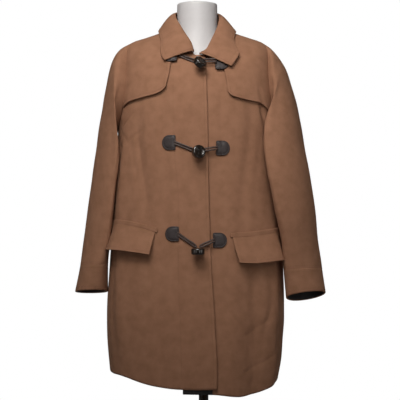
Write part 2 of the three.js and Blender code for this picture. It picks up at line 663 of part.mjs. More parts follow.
// A cord folded in two: both ends at the tab, its bend at the toggle
function cordGeometry(side, tab, toggle, reach, lift) {
  const toToggle = Math.sign(toggle[0] - tab[0]);
  const begin = tab[0] + toToggle * (TAB_WIDE / 2 + SEAM + 1.2);
  const bend = toggle[0] + toToggle * reach;
  const at = (t, spread) => frontPlace(
    side, mix(begin, bend, t), mix(tab[1], toggle[1], t) + spread, mix(CORD_LIFT, lift, ramp(t, 0, 0.45)),
  );
  const there = [0, 0.3, 0.6, 0.9].map((t) => at(t, CORD_SPREAD));
  const back = [0.9, 0.6, 0.3, 0].map((t) => at(t, -CORD_SPREAD));
  const path = new THREE.CatmullRomCurve3([...there, at(1, 0), ...back]);
  const section = new THREE.Shape().absarc(0, 0, CORD_RADIUS, 0, 2 * Math.PI, false);
  return new THREE.ExtrudeGeometry(section, { steps: 20, curveSegments: 3, extrudePath: path });
}

function addFastening(fastening) {
  const { name, toggle } = fastening;
  for (const side of ["over", "under"]) {
    const geometry = tabGeometry();
    if (side === "under") geometry.rotateZ(Math.PI);
    seat(add(coat, `tab_${name}_${side}`, geometry, LEATHER), side, ...fastening[side], TAB_LAID);
  }
  const [short, long] = [-4, LOOP_REACH];
  add(coat, `toggle_cord_${name}`, cordGeometry("over", fastening.over, toggle, short, CORD_LIFT), CORD);
  add(coat, `loop_cord_${name}`, cordGeometry("over", fastening.under, toggle, long, LOOP_LIFT), CORD);
  const disc = toggleGeometry().rotateX(radians(-fastening.tip)).rotateY(radians(fastening.swing));
  seat(add(coat, `toggle_${name}`, disc, HORN), "over", ...toggle, fastening.lift);
}

// Dress form, by rings like the coat's body. Near the shoulder seams it lies just below the cloth.
const REST = 0.5;
const SHOULDER_SEAT = (CLOTH + REST) / Math.cos(radians(15));
const FORM_RINGS = [
  [806, 138, 84, 92, 0],
  [812, 148, 92, 100, 0],
  [880, 163, 104, 114, 0],
  [960, 156, 100, 112, 0],
  [1060, 124, 84, 90, 0],
  [1150, 136, 102, 102, 0],
  [1230, 152, 121, 110, 0],
  [1300, 156, 114, 115, 6],
  [1360, 160, 101, 115, 20],
  [1400, 161, 92, 111, 34],
  [1425, 157, 86, 104, 47],
  [1441, 147, 82, 97, 56],
  [1460 - SHOULDER_SEAT, 124, 80, 90, 62],
  [1470 - SHOULDER_SEAT, 101, 77, 82, 66],
  [1477 - SHOULDER_SEAT, 83, 73, 72, 69],
  [1483 - SHOULDER_SEAT, 64, 66, 61, 70],
  [1485, 54, 58, 54, 50],
  [1495, 50.5, 51, 51, 20],
  [1512, 50, 50, 50, 0],
  [1545, 50, 50, 50, 0],
  [1549, 48.5, 48.5, 48.5, 0],
  [1550, 45, 45, 45, 0],
];
const FORM_BOTTOM = FORM_RINGS[0][0];
const POLE_RADIUS = 12;
const BASE_RADIUS = 170;
const BASE_THICK = 10;
const HUB_RADIUS = 27;
const HUB_HIGH = 42;

function addForm() {
  const angles = steps(-180, 180, 24).slice(0, -1);
  const rings = FORM_RINGS.map(([level, wide, front, back, drop]) => angles.map((angle) => {
    const [sin, cos] = [Math.sin(radians(angle)), Math.cos(radians(angle))];
    const deep = cos > 0 ? front : back;
    const lower = cos > 0 ? drop * cos ** DROP_POWER : 0.08 * drop * Math.abs(cos) ** DROP_POWER;
    return new THREE.Vector3(wide * sin, -deep * cos, level - lower);
  }));
  add(coat, "dress_form", loft(rings), FORM_SKIN);
}

function addStand() {
  const round = (points, segments) => new THREE.LatheGeometry(
    points.map(([r, z]) => new THREE.Vector2(r, z)), segments,
  ).rotateX(Math.PI / 2);
  const chamfer = 2;
  const disc = [
    [0, 0], [BASE_RADIUS, 0], [BASE_RADIUS, BASE_THICK - chamfer], [BASE_RADIUS - chamfer, BASE_THICK],
    [0, BASE_THICK],
  ];
  add(group, "base", round(disc, 48), STEEL);
  const foot = BASE_THICK + SEAM;
  const pole = [[0, foot], [POLE_RADIUS, foot], [POLE_RADIUS, FORM_BOTTOM - SEAM], [0, FORM_BOTTOM - SEAM]];
  add(group, "pole", round(pole, 24), STEEL);
  const bore = POLE_RADIUS + SEAM;
  const hub = [[bore, foot], [HUB_RADIUS, foot], [HUB_RADIUS, foot + HUB_HIGH - chamfer],
    [HUB_RADIUS - chamfer, foot + HUB_HIGH], [bore, foot + HUB_HIGH], [bore, foot]];
  add(group, "hub", round(hub, 24), STEEL);
}

addBody();
for (const side of Object.keys(sides)) {
  addCape(side);
  addPocket(side);
  addSleeve(side);
}
addCollar();
fastenings.forEach(addFastening);
addForm();
addStand();

export default group;
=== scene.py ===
import bpy
import numpy as np
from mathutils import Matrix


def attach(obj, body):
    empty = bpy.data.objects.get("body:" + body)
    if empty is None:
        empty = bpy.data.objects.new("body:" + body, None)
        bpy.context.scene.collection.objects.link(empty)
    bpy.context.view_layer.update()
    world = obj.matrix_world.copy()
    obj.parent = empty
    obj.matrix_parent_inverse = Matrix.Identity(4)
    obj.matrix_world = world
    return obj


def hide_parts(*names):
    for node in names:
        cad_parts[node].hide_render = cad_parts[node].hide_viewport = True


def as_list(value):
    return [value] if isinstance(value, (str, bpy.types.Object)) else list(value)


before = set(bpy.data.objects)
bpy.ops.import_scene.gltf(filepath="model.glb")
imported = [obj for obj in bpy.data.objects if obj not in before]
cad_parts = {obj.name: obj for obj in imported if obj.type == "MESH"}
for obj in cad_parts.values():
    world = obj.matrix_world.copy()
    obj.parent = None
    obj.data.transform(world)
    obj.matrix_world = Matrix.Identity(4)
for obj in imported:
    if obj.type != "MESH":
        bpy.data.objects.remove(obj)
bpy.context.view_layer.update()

MM = 0.001

# Camera: level, 3 m in front of the coat, with 1 m of height in the picture at the coat's middle plane
CAMERA_AT = (-9, -3000, 1060)
CAMERA_LENS = 108
CAMERA_SENSOR = 36
CAMERA_REACH = 50  # m


def add_camera():
    data = bpy.data.cameras.new("camera")
    data.lens = CAMERA_LENS
    data.sensor_width = CAMERA_SENSOR
    data.clip_end = CAMERA_REACH
    camera = bpy.data.objects.new("camera", data)
    camera.location = [c * MM for c in CAMERA_AT]
    camera.rotation_euler = (np.pi / 2, 0, 0)
    bpy.context.scene.collection.objects.link(camera)
    bpy.context.scene.camera = camera


add_camera()

# Driving sizes, as in the frame
CLOTH = 3.0
LINING = 1.0
SEAM = 0.3
LAID = 0.7
COAT_X = -16.0
HEM = 640.0
UNDERARM = 1235.0
SHOULDER = 1450.0
NECK = 1483.0
ARMHOLE_ANGLE = 27.0
UNDERLAP = -25.0
UNDERLAP_SEAM = 9.0
LAP_LIFT = 4.0
EDGE_FREE = 4.0  # how much further the over front's edge stands off at the hem
UNDER_HANG = 13.0
SIDE_HANG = 19.0
TOPSTITCH = 6.5  # from a sewn edge to its stitching
ORIGIN = np.array([COAT_X, 0.0, 0.0])


# Plain functions of numbers and points
def mix(a, b, t):
    return a + (b - a) * t


def ramp(x, start, end):
    t = np.clip((np.asarray(x, float) - start) / (end - start), 0, 1)
    return t * t * (3 - 2 * t)


def bell(x, width):
    return np.exp(-((np.asarray(x, float) / width) ** 2))


def sin_of(degrees):
    return np.sin(np.radians(degrees))


def cos_of(degrees):
    return np.cos(np.radians(degrees))


def unit(v):
    return v / np.maximum(np.linalg.norm(v, axis=-1, keepdims=True), 1e-9)


def stack(x, y, z):
    return np.stack(np.broadcast_arrays(x, y, z), axis=-1)


def smooth_table(names, rows):
    """A table whose first column rises, read as smooth functions of that column."""
    table = np.array(rows, float)
    keys = table[:, 0]
    before = table[np.maximum(np.arange(len(table)) - 1, 0)]
    after = table[np.minimum(np.arange(len(table)) + 1, len(table) - 1)]
    slopes = (after - before) / (after[:, :1] - before[:, :1])

    def read(key):
        x = np.clip(np.asarray(key, float), keys[0], keys[-1])
        k = np.clip(np.searchsorted(keys, x, side="left") - 1, 0, len(keys) - 2)
        span = keys[k + 1] - keys[k]
        t = ((x - keys[k]) / span)[..., None]
        span = span[..., None]
        value = mix(table[k], table[k + 1], 3 * t**2 - 2 * t**3)
        value = value + slopes[k] * span * (t**3 - 2 * t**2 + t) + slopes[k + 1] * span * (t**3 - t**2)
        return {name: value[..., c] for c, name in enumerate(names)}

    return read


def smooth_curve(rows):
    """A table of two columns, read as one smooth function."""
    read = smooth_table(["key", "value"], rows)
    return lambda key: read(key)["value"]


def round_turns(count):
    """Even turns round a circle, in radians."""
    return np.linspace(0, 2 * np.pi, count + 1)[:-1]


def length_along(path):
    """How far along a path each of its points lies."""
    return np.concatenate([[0], np.cumsum(np.linalg.norm(np.diff(path, axis=0), axis=1))])


def read_along(places, length, values):
    return np.stack([np.interp(places, length, column) for column in values.T], -1)


def normal_of(surface, a, b, step_a, step_b):
    along_a = surface(a + step_a, b) - surface(a - step_a, b)
    along_b = surface(a, b + step_b) - surface(a, b - step_b)
    return unit(np.cross(along_a, along_b))


def new_piece(name, points, faces, slot, material, stands_for=None):
    """A smooth mesh from points in mm and faces of three or four corners, in place of a frame node."""
    points = np.asarray(points, float)
    faces = np.asarray(faces)
    first = points[faces[:, 0]]
    second, third = points[faces[:, 1]], points[faces[:, 2]]
    volume = np.einsum("ij,ij->", first, np.cross(second, third))
    if faces.shape[1] == 4:
        volume += np.einsum("ij,ij->", first, np.cross(third, points[faces[:, 3]]))
    if volume < 0:
        faces = faces[:, ::-1]
    mesh = bpy.data.meshes.new(name)
    mesh.vertices.add(len(points))
    mesh.vertices.foreach_set("co", (points * MM).ravel())
    count, corners = faces.shape
    mesh.loops.add(count * corners)
    mesh.loops.foreach_set("vertex_index", faces.ravel().astype(np.int32))
    mesh.polygons.add(count)
    mesh.polygons.foreach_set("loop_start", np.arange(0, count * corners, corners, dtype=np.int32))
    mesh.polygons.foreach_set("use_smooth", np.ones(count, bool))
    mesh.update(calc_edges=True)
    mesh.validate()
    mesh.materials.append(material)
    piece = bpy.data.objects.new(name, mesh)
    bpy.context.scene.collection.objects.link(piece)
    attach(piece, "root")
    if stands_for:
        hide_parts(stands_for)
    return piece


ROUND = 0.42  # how far a wall's edge bulges, as a share of its thickness


def wall(outer, inner, closed=False, bulge=ROUND):
    """Points and faces of a cloth wall over two grids of points, with round edges."""
    rows, columns = outer.shape[:2]
    index = np.arange(rows * columns).reshape(rows, columns)
    across = np.concatenate([index, index[:, :1]], axis=1) if closed else index
    corners = [across[:-1, :-1], across[:-1, 1:], across[1:, 1:], across[1:, :-1]]
    quads = np.stack(corners, -1).reshape(-1, 4)
    away = np.zeros_like(outer)
    away[0] += unit(outer[0] - outer[1])
    away[-1] += unit(outer[-1] - outer[-2])
    if not closed:
        away[:, 0] += unit(outer[:, 0] - outer[:, 1])
        away[:, -1] += unit(outer[:, -1] - outer[:, -2])
    thick = np.linalg.norm(outer - inner, axis=-1, keepdims=True)
    middle = (outer + inner) / 2 + unit(away) * thick * bulge
    if closed:
        loops = [index[0], index[-1][::-1]]
    else:
        loops = [np.concatenate([index[0], index[1:, -1], index[-1, -2::-1], index[-2:0:-1, 0]])]
    points = [outer.reshape(-1, 3), inner.reshape(-1, 3)]
    faces = [quads, quads[:, ::-1] + rows * columns]
    start = 2 * rows * columns
    for loop in loops:
        points.append(middle.reshape(-1, 3)[loop])
        here = start + np.arange(len(loop))
        ahead = np.roll(here, -1)
        next_one = np.roll(loop, -1)
        faces.append(np.stack([next_one, loop, here, ahead], -1))
        faces.append(np.stack([ahead, here, loop + rows * columns, next_one + rows * columns], -1))
        start += len(loop)
    return np.concatenate(points) + ORIGIN, np.concatenate(faces)


# The coat's body, as in the frame
BODY_COLUMNS = ["level", "wide", "front", "back", "square", "shift", "drop_front", "drop_back"]
body_ring = smooth_table(BODY_COLUMNS, [
    [640, 210, 148, 148, 0.06, -8, 35, 30],
    [685, 216, 150, 148, 0.06, -6, 24, 20],
    [735, 219, 151, 147, 0.06, -6, 15, 12],
    [785, 221, 151, 145, 0.06, -4, 10, 6],
    [885, 217, 147, 140, 0.06, -2, 2, 0],
    [985, 212, 142, 134, 0.06, -1, 0, 0],
    [1100, 205, 137, 129, 0.05, -1, 0, 0],
    [1235, 197, 134, 130, 0.05, 0, 4, 0],
    [1300, 193, 130, 131, 0.05, 0, 14, 0],
    [1350, 188, 124, 130, 0.05, 0, 26, 0],
    [1400, 182, 114, 126, 0.04, 0, 43, 2],
    [1435, 174, 104, 117, 0.03, 0, 57, 4],
    [1450, 160, 99, 111, 0.02, 0, 63, 5],
    [1460, 131, 94, 101, 0.01, 0, 66, 5],
    [1470, 102, 87, 88, 0, 0, 69, 5],
    [1477, 83, 82, 78, 0, 0, 71, 5],
    [1483, 64, 78, 68, 0, 0, 72, 5],
])
DROP_POWER = 1.5
FOLD_COLUMNS = ["from_across", "from_along", "to_across", "to_along", "width", "depth", "fade"]
# The body's large folds, as in the frame: across by angle from centre front, positive to the wearer's left,
# and along by level. A negative depth is a ridge
BODY_FOLDS = [
    [-44, 1215, -34, 1050, 16, 5, 90],
    [-60, 1090, -52, 800, 26, -5, 90],
    [20, 860, 22, 600, 30, -6, 90],
    [38, 900, 40, 600, 20, 6, 90],
    [56, 930, 57, 600, 24, -5, 90],
    [40, 1240, 30, 1040, 18, 4, 90],
    [150, 1100, 146, 600, 40, 7, 90],
    [-150, 1100, -148, 600, 40, 7, 90],
    [112, 1120, 116, 600, 34, -6, 90],
    [-112, 1120, -116, 600, 34, -6, 90],
]
# Finer creases that lie on them
BODY_CREASES = [
    [-62, 1243, -50, 1272, 5, 1.6, 14],
    [-70, 1232, -56, 1210, 7, 1.6, 22],
    [-52, 1215, -42, 1110, 7, 1.3, 40],
    [-29, 1290, -27, 1200, 9, -0.9, 40],
    [-66, 1180, -60, 1010, 10, 1.4, 60],
    [-78, 1200, -74, 1040, 9, 1.5, 60],
    [50, 1280, 58, 1225, 8, 1.8, 24],
    [62, 1262, 66, 1190, 8, 1.8, 30],
    [46, 1180, 40, 1080, 9, 1.3, 45],
    [16.5, 1322, 17, 1180, 5, 0.9, 30],
    [72, 1150, 66, 990, 12, 1.5, 60],
    [12, 905, 30, 850, 9, 1.1, 30],
    [18, 830, 40, 790, 10, 1.2, 35],
    [30, 760, 52, 800, 11, 1.2, 40],
    [50, 880, 60, 760, 10, 1.4, 50],
    [-30, 880, -44, 800, 12, 1.2, 45],
    [-18, 800, -26, 690, 12, -1.0, 45],
    [-62, 840, -56, 700, 14, 1.4, 60],
    [-120, 1300, -135, 1180, 14, 2, 60],
    [125, 1290, 138, 1160, 14, 2, 60],
    [170, 1320, 176, 1160, 18, 1.6, 80],
    [-168, 980, -172, 760, 22, 2, 90],
    [165, 900, 160, 700, 20, 2, 90],
    [100, 1210, 108, 1120, 10, 2, 40],
    [-100, 1210, -108, 1120, 10, 2, 40],
    [-54, 1203, -40, 1234, 4.5, 2.2, 12],
    [-65, 1190, -63.5, 1184, 4.5, 6, 5],
    [-45, 1209, -35, 1060, 5, 1.8, 26],
    [-36, 870, -44, 780, 12, 1.2, 40],
    [17.5, 822, 35, 755, 9, 2.2, 28],
    [51, 822, 45, 765, 9, 2.0, 24],
    [33, 690, 60, 715, 10, 1.8, 24],
    [49, 1330, 56, 1185, 8, 2.2, 24],
]


def fold_depth(folds, across, along, arc, step=1.0, whole_turn=False):
    """How deep folds press in. Across is in degrees of arc mm each, along in units of step mm."""
    depth = 0
    for row in folds:
        fold = dict(zip(FOLD_COLUMNS, row))
        length = fold["to_along"] - fold["from_along"]
        t = (along - fold["from_along"]) / length
        past = np.maximum(np.maximum(-t, t - 1), 0) * abs(length) * step
        away = across - mix(fold["from_across"], fold["to_across"], np.clip(t, 0, 1))
        if whole_turn:
            away = (away + 180) % 360 - 180
        depth = depth + fold["depth"] * bell(away * arc, fold["width"]) * bell(past, fold["fade"])
    return depth


# Slow waves of the cloth: radians a mm both ways, and size
WAVES = [(0.031, 0.017, 1.0), (-0.022, 0.041, 0.8), (0.054, 0.033, 0.45), (0.013, -0.062, 0.5)]
SLACK = 0.5


def slack(a, b, seed):
    """A slow unevenness of the cloth, within about 1 either way."""
    total = sum(size * np.sin(a * i + b * j + seed * (3 + k)) for k, (i, j, size) in enumerate(WAVES))
    return total / 2.0


def body_point(angle, level):
    ring = body_ring(level)
    sin, cos = sin_of(angle), cos_of(angle)
    front = cos > 0
    depth = np.where(front, ring["front"], ring["back"])
    drop = np.where(front, ring["drop_front"], ring["drop_back"])
    full = 1 + ring["square"] * sin_of(2 * angle) ** 2
    turned = np.where(angle > 180, angle - 360, angle)
    fold = fold_depth(BODY_FOLDS, turned, level, ring["wide"] * np.pi / 180)
    out = full - fold / np.hypot(ring["wide"] * sin, depth * cos)
    z = level - drop * np.abs(cos) ** DROP_POWER
    return stack(ring["shift"] + ring["wide"] * sin * out, -depth * cos * out, z)


def body_place(angle, level, lift, hang=0.0):
    """A point moved out from the body's cloth, and down where the cloth hangs longer."""
    angle, level = np.broadcast_arrays(np.asarray(angle, float), np.asarray(level, float))
    normal = normal_of(body_point, angle, level, 0.5, 1.0)
    turned = np.where(angle > 180, angle - 360, angle)
    arc = body_ring(level)["wide"] * np.pi / 180
    crease = fold_depth(BODY_CREASES, turned, level, arc) - SLACK * slack(turned * arc, level, 1)
    lift = np.asarray(lift - crease)[..., None]
    lower = np.asarray(hang * ramp(level, UNDERARM, HEM))
    return body_point(angle, level) + normal * lift - stack(0 * angle, 0 * angle, lower)


def angle_at(x, level):
    return np.degrees(np.arcsin(np.clip(x / body_ring(level)["wide"], -1, 1)))


def gap_angle(length, level):
    return np.degrees(length / body_ring(level)["wide"])


ARMHOLE_MIDDLE = (UNDERARM + SHOULDER) / 2
ARMHOLE_HALF = (SHOULDER - UNDERARM) / 2


def armhole_level(turn):
    return ARMHOLE_MIDDLE + ARMHOLE_HALF * cos_of(turn)


def notch(level, inset=SEAM / 2):
    across = np.clip((level - ARMHOLE_MIDDLE) / ARMHOLE_HALF, -1, 1)
    return ARMHOLE_ANGLE * np.sqrt(1 - across**2) + gap_angle(inset, level)


# How far past the middle the over front's edge lies, by level
over_edge = smooth_curve([
    [640, 53], [715, 50], [815, 41.5], [928, 33], [1084, 28], [1250, 24.5], [1450, 20], [1483, 20],
])


def over_lift(angle, level):
    edge = over_edge(level)
    near_edge = ramp(angle, angle_at(edge - 60, level), angle_at(edge, level))
    lapped = ramp(angle, angle_at(UNDERLAP - 60, level), angle_at(UNDERLAP - 20, level))
    return LAP_LIFT * lapped + EDGE_FREE * near_edge * (0.4 + 0.6 * ramp(level, 1000, HEM))


def over_hang(angle):
    return -9 * bell(angle + 52, 20) - 4.5 * ramp(angle, -70, -42)


def under_hang(angle):
    longer = 7.5 * bell(angle - 36, 18) - 6 * ramp(angle, 32, 12)
    return mix(UNDER_HANG, SIDE_HANG, np.clip(angle / 90, 0, 1)) + longer


def back_hang(angle):
    return SIDE_HANG * np.maximum(sin_of(angle), 0) ** 2


def none_of(*_):
    return 0.0


def facing_end(level):
    return angle_at(over_edge(level) - UNDERLAP_SEAM, level)


PANELS = {
    "over": dict(
        name="front_over", sign=-1, notched=(1, 0), lift=over_lift, hang=over_hang,
        ends=(lambda level: -90.0, lambda level: angle_at(over_edge(level), level)),
    ),
    "under": dict(
        name="front_under", sign=1, notched=(0, 1), lift=none_of, hang=under_hang,
        ends=(lambda level: facing_end(level) + gap_angle(SEAM, level), lambda level: 90.0),
    ),
    # The underlap facing is near-black cloth: painted shade for the shadow under the over front's hem
    "facing": dict(
        name="underlap_facing", sign=1, notched=(0, 0), lift=none_of, hang=under_hang,
        ends=(lambda level: angle_at(UNDERLAP, level), facing_end),
    ),
    "back": dict(
        name="back", sign=1, notched=(1, 1), lift=none_of, hang=back_hang,
        ends=(lambda level: 90.0, lambda level: 270.0),
    ),
}


def column_angle(part, u, level):
    give = notch(level) * (part["notched"][0] * (1 - u) ** 2 - part["notched"][1] * u**2)
    return mix(part["ends"][0](level), part["ends"][1](level), u) + give


def panel_place(part, u, level, lift):
    angle = column_angle(part, u, level)
    return body_place(angle, level, part["lift"](angle, level) + lift, part["hang"](angle))


def with_edges(count, edge=0.006):
    """Even shares from 0 to 1 with one more column close to each end, which keeps the edge crisp."""
    return np.concatenate([[0, edge], np.linspace(0, 1, count + 1)[1:-1], [1 - edge, 1]])


# Stitching: each stitch is a short spindle laid on the cloth
stitch_points = {}
STITCH_PITCH = 5.0
STITCH_LONG = 3.4
STITCH_RADIUS = 0.42
STITCH_LIFT = 0.2
EDGE_STEPS = 160


def stitch_along(thread, path, normals, pitch=STITCH_PITCH, long=STITCH_LONG, radius=STITCH_RADIUS):
    """Adds a line of stitches along a path of points, with the cloth's normals there."""
    length = length_along(path)
    places = np.arange(pitch / 2, length[-1] - pitch / 2, pitch)
    at = read_along(places, length, path)
    out = unit(read_along(places, length, normals))
    along = unit(read_along(places + 1, length, path) - at)
    side = np.cross(out, along)
    tip = along * long / 2
    corners = [tip, side * radius, out * radius, -side * radius, -out * radius, -tip]
    stitch_points.setdefault(thread, []).append(at[:, None, :] + np.stack(corners, 1))


def add_stitching(name, thread, material):
    points = np.concatenate(stitch_points[thread])
    one = np.array([
        [0, 1, 2], [0, 2, 3], [0, 3, 4], [0, 4, 1], [5, 2, 1], [5, 3, 2], [5, 4, 3], [5, 1, 4],
    ])
    faces = (one[None] + 6 * np.arange(len(points))[:, None, None]).reshape(-1, 3)
    return new_piece(name, points.reshape(-1, 3) + ORIGIN, faces, thread, material)


# Materials
def shader(name):
    material = bpy.data.materials.new(name)
    material.use_nodes = True
    tree = material.node_tree
    return material, tree, tree.nodes["Principled BSDF"]


def node(tree, kind, **values):
    made = tree.nodes.new(kind)
    for key, value in values.items():
        if key in made.inputs:
            made.inputs[key].default_value = value
        else:
            setattr(made, key, value)
    return made


def set_inputs(shader_node, values):
    for key, value in values.items():
        shader_node.inputs[key].default_value = value


def noise(tree, coordinates, scale, detail=2.0, roughness=0.5, stretch=None):
    source = coordinates
    if stretch:
        mapping = node(tree, "ShaderNodeMapping")
        mapping.inputs["Scale"].default_value = stretch
        tree.links.new(coordinates, mapping.inputs["Vector"])
        source = mapping.outputs["Vector"]
    made = node(tree, "ShaderNodeTexNoise", Scale=scale, Detail=detail, Roughness=roughness)
    tree.links.new(source, made.inputs["Vector"])
    return made.outputs["Fac"]


def colours(tree, factor, *stops):
    """Blends two colours, each given with its place on the factor."""
    made = node(tree, "ShaderNodeValToRGB")
    for end, (place, colour) in zip(made.color_ramp.elements, stops):
        end.position, end.color = place, (*colour, 1)
    tree.links.new(factor, made.inputs["Fac"])
    return made.outputs["Color"]


def bump(tree, shader_node, layers):
    """Stacks bump layers, each a height with its strength and depth in metres."""
    last = None
    for height, strength, distance in layers:
        made = node(tree, "ShaderNodeBump", Strength=strength, Distance=distance)
        tree.links.new(height, made.inputs["Height"])
        if last:
            tree.links.new(last, made.inputs["Normal"])
        last = made.outputs["Normal"]
    tree.links.new(last, shader_node.inputs["Normal"])


WOOL_DARK = (0.224, 0.109, 0.062)
WOOL_LIGHT = (0.276, 0.138, 0.082)


def wool_material(name, shade=1.0):
    """Brushed camel wool: a felted ground with fine fibres, faint mottling and a soft sheen."""
    material, tree, main = shader(name)
    place = node(tree, "ShaderNodeTexCoord").outputs["Object"]
    mottle = noise(tree, place, 46, 3, 0.5)
    fibre = noise(tree, place, 900, 3, 0.6, (1.0, 1.0, 0.35))
    blend = node(tree, "ShaderNodeMath", operation="MULTIPLY_ADD")
    blend.inputs[1].default_value = 0.5
    tree.links.new(fibre, blend.inputs[0])
    tree.links.new(mottle, blend.inputs[2])
    low, high = [tuple(c * shade for c in tone) for tone in (WOOL_DARK, WOOL_LIGHT)]
    colour = colours(tree, blend.outputs[0], (0.48, low), (0.94, high))
    tree.links.new(colour, main.inputs["Base Color"])
    set_inputs(main, {"Roughness": 0.92, "Specular IOR Level": 0.18})
    set_inputs(main, {"Sheen Weight": 0.04, "Sheen Roughness": 0.45, "Sheen Tint": (0.9, 0.6, 0.4, 1)})
    nap = noise(tree, place, 260, 3, 0.6, (1.0, 1.0, 0.6))
    bump(tree, main, [(nap, 0.35, 0.0007), (fibre, 0.4, 0.0003)])
    return material


def plain_material(name, dark, light, roughness, scale, bump_depth, specular=0.5, coat=0.0, metal=0.0):
    """A material with two close tones and a grain of one scale."""
    material, tree, main = shader(name)
    place = node(tree, "ShaderNodeTexCoord").outputs["Object"]
    grain = noise(tree, place, scale, 4, 0.6)
    tree.links.new(colours(tree, grain, (0.35, dark), (0.65, light)), main.inputs["Base Color"])
    set_inputs(main, {"Roughness": roughness, "Specular IOR Level": specular})
    set_inputs(main, {"Coat Weight": coat, "Metallic": metal})
    bump(tree, main, [(grain, 0.5, bump_depth)])
    return material


WOOL = wool_material("camel_wool")
WOOL_THREAD = wool_material("camel_wool_thread", 0.62)
# Name, dark and light tone, roughness, scale and depth in m of the grain, specular, coat and metal
NEAR_BLACK_CLOTH, LEATHER, CORD, HORN, FORM_SKIN, STEEL = [
    plain_material(*values) for values in [
        # Near-black cloth: painted shade on the underlap facing, where the over front's hem casts its
        # shadow; also the cuff lining
        ("black_lining", (0.006, 0.004, 0.004), (0.014, 0.009, 0.008), 0.7, 900, 0.0001),
        ("dark_leather", (0.018, 0.012, 0.012), (0.036, 0.026, 0.026), 0.55, 420, 0.0004, 0.4, 0.05),
        ("dark_cord", (0.03, 0.016, 0.012), (0.075, 0.042, 0.033), 0.5, 300, 0.0003),
        ("dark_horn", (0.006, 0.004, 0.003), (0.02, 0.012, 0.008), 0.16, 60, 0.00005, 0.5, 0.4),
        ("white_form", (0.53, 0.515, 0.52), (0.545, 0.53, 0.535), 0.45, 120, 0.00003),
        ("dark_steel", (0.17, 0.16, 0.155), (0.22, 0.21, 0.2), 0.3, 240, 0.00003, 0.5, 0.0, 1.0),
    ]
]


# Body panels
PANEL_COLUMNS = {"over": 92, "under": 74, "facing": 16, "back": 124}
SKIRT_ROWS = 132
ARMHOLE_ROWS = 46
SHOULDER_ROWS = 12


def add_panels():
    levels = np.concatenate([
        np.linspace(HEM, UNDERARM, SKIRT_ROWS + 1),
        armhole_level(np.linspace(180, 0, ARMHOLE_ROWS + 1))[1:],
        np.linspace(SHOULDER, NECK, SHOULDER_ROWS + 1)[1:],
    ])[:, None]
    for key, part in PANELS.items():
        u = with_edges(PANEL_COLUMNS[key])[None, :]
        outer = panel_place(part, u, levels, 0.0)
        inner = panel_place(part, u, levels, -CLOTH)
        # The facing gets the near-black cloth, painted shade under the over front's hem
        material = NEAR_BLACK_CLOTH if key == "facing" else WOOL
        slot = "black_lining" if key == "facing" else "wool"
        new_piece(part["name"] + "_cloth", *wall(outer, inner), slot, material, part["name"])


add_panels()


# Lines of stitching on the body
def stitch_on_body(side, angles, levels, lift):
    part = PANELS[side]

    def surface(a, b):
        return body_place(a, b, part["lift"](a, b) + lift, part["hang"](a))

    normals = normal_of(surface, angles, levels, 0.3, 0.5)
    stitch_along("wool", surface(angles, levels), normals)


FLY_TOP = 1392
fly_line = smooth_curve([[640, -28], [750, -33], [900, -42], [1060, -42.5], [1200, -54], [FLY_TOP, -56]])
# Stitching from each flap's upper corner towards the tab: from and to angle, and its two levels
BARS = {"over": (-31, -26, (979, 969)), "under": (21, 26, (977, 965))}


def stitch_fronts():
    levels = np.linspace(HEM + 8, FLY_TOP, 400)
    for x in (over_edge(levels) - TOPSTITCH, fly_line(levels)):
        stitch_on_body("over", angle_at(x, levels), levels, STITCH_LIFT)
    for side, (start, end, bars) in BARS.items():
        for level in bars:
            stitch_on_body(side, np.linspace(start, end, 30), np.full(30, level + 0.0), 0.3)


stitch_fronts()

# Pieces laid on the fronts
CAPE_SIDE = -1.6  # a cape runs this far on under the sleeve's edge
# Each cape's low edge, as level by share across, and its inner edge, as x by level
CAPES = {
    "over": dict(
        low=[
            [0, 1354], [0.05, 1343], [0.14, 1333], [0.32, 1324],
            [0.53, 1315], [0.7, 1307], [0.86, 1297], [1, 1283],
        ],
        inner=[[1334, 75], [1376, 70], [1406, 66], [1430, 64], [1461, 60], [1484, 45]],
    ),
    "under": dict(
        low=[
            [0, 1341], [0.03, 1331], [0.16, 1321], [0.43, 1310],
            [0.64, 1301], [0.72, 1291], [0.8, 1280], [1, 1266],
        ],
        inner=[[1334, 72], [1376, 69], [1406, 66], [1430, 64], [1461, 60], [1484, 45]],
    ),
}
CAPE_PROUD = 4.0


def laid_surface(side, angle_ends, level_ends, lift):
    """A surface over a front by shares across and up: (u, v) to points. Its ends are functions."""
    part = PANELS[side]

    def surface(u, v, more=0.0):
        low, high = level_ends(u)
        level = mix(low, high, v)
        inner, outer = angle_ends(v, level)
        angle = part["sign"] * mix(inner, outer, u)
        height = part["lift"](angle, level) + LAID + lift(u, v) + more
        return body_place(angle, level, height, part["hang"](angle))

    return surface


def add_laid(name, surface, thick, across, up, stitched=True):
    """A cloth piece over a laid surface, stitched along its low and inner edges."""
    u = with_edges(across, 0.008)[None, :]
    v = with_edges(up, 0.012)[:, None]
    outer = surface(u, v, thick)
    new_piece(name + "_cloth", *wall(outer, surface(u, v)), "wool", WOOL, name)
    if not stitched:
        return

    def top(a, b):
        return surface(np.clip(a, 0, 1), np.clip(b, 0, 1), thick + 0.15)

    inset_u = TOPSTITCH / np.linalg.norm(outer[0, -1] - outer[0, 0])
    inset_v = TOPSTITCH / np.linalg.norm(outer[-1, 0] - outer[0, 0])
    t = np.linspace(0.02, 0.98, EDGE_STEPS)
    for path in ((t, np.full(EDGE_STEPS, inset_v)), (np.full(EDGE_STEPS, inset_u), t)):
        normals = normal_of(top, *path, 0.004, 0.004)
        facing = np.sign(np.einsum("ij,ij->i", normals, surface(*path, 5.0) - surface(*path, 0.0)))
        stitch_along("wool", top(*path), normals * facing[:, None])


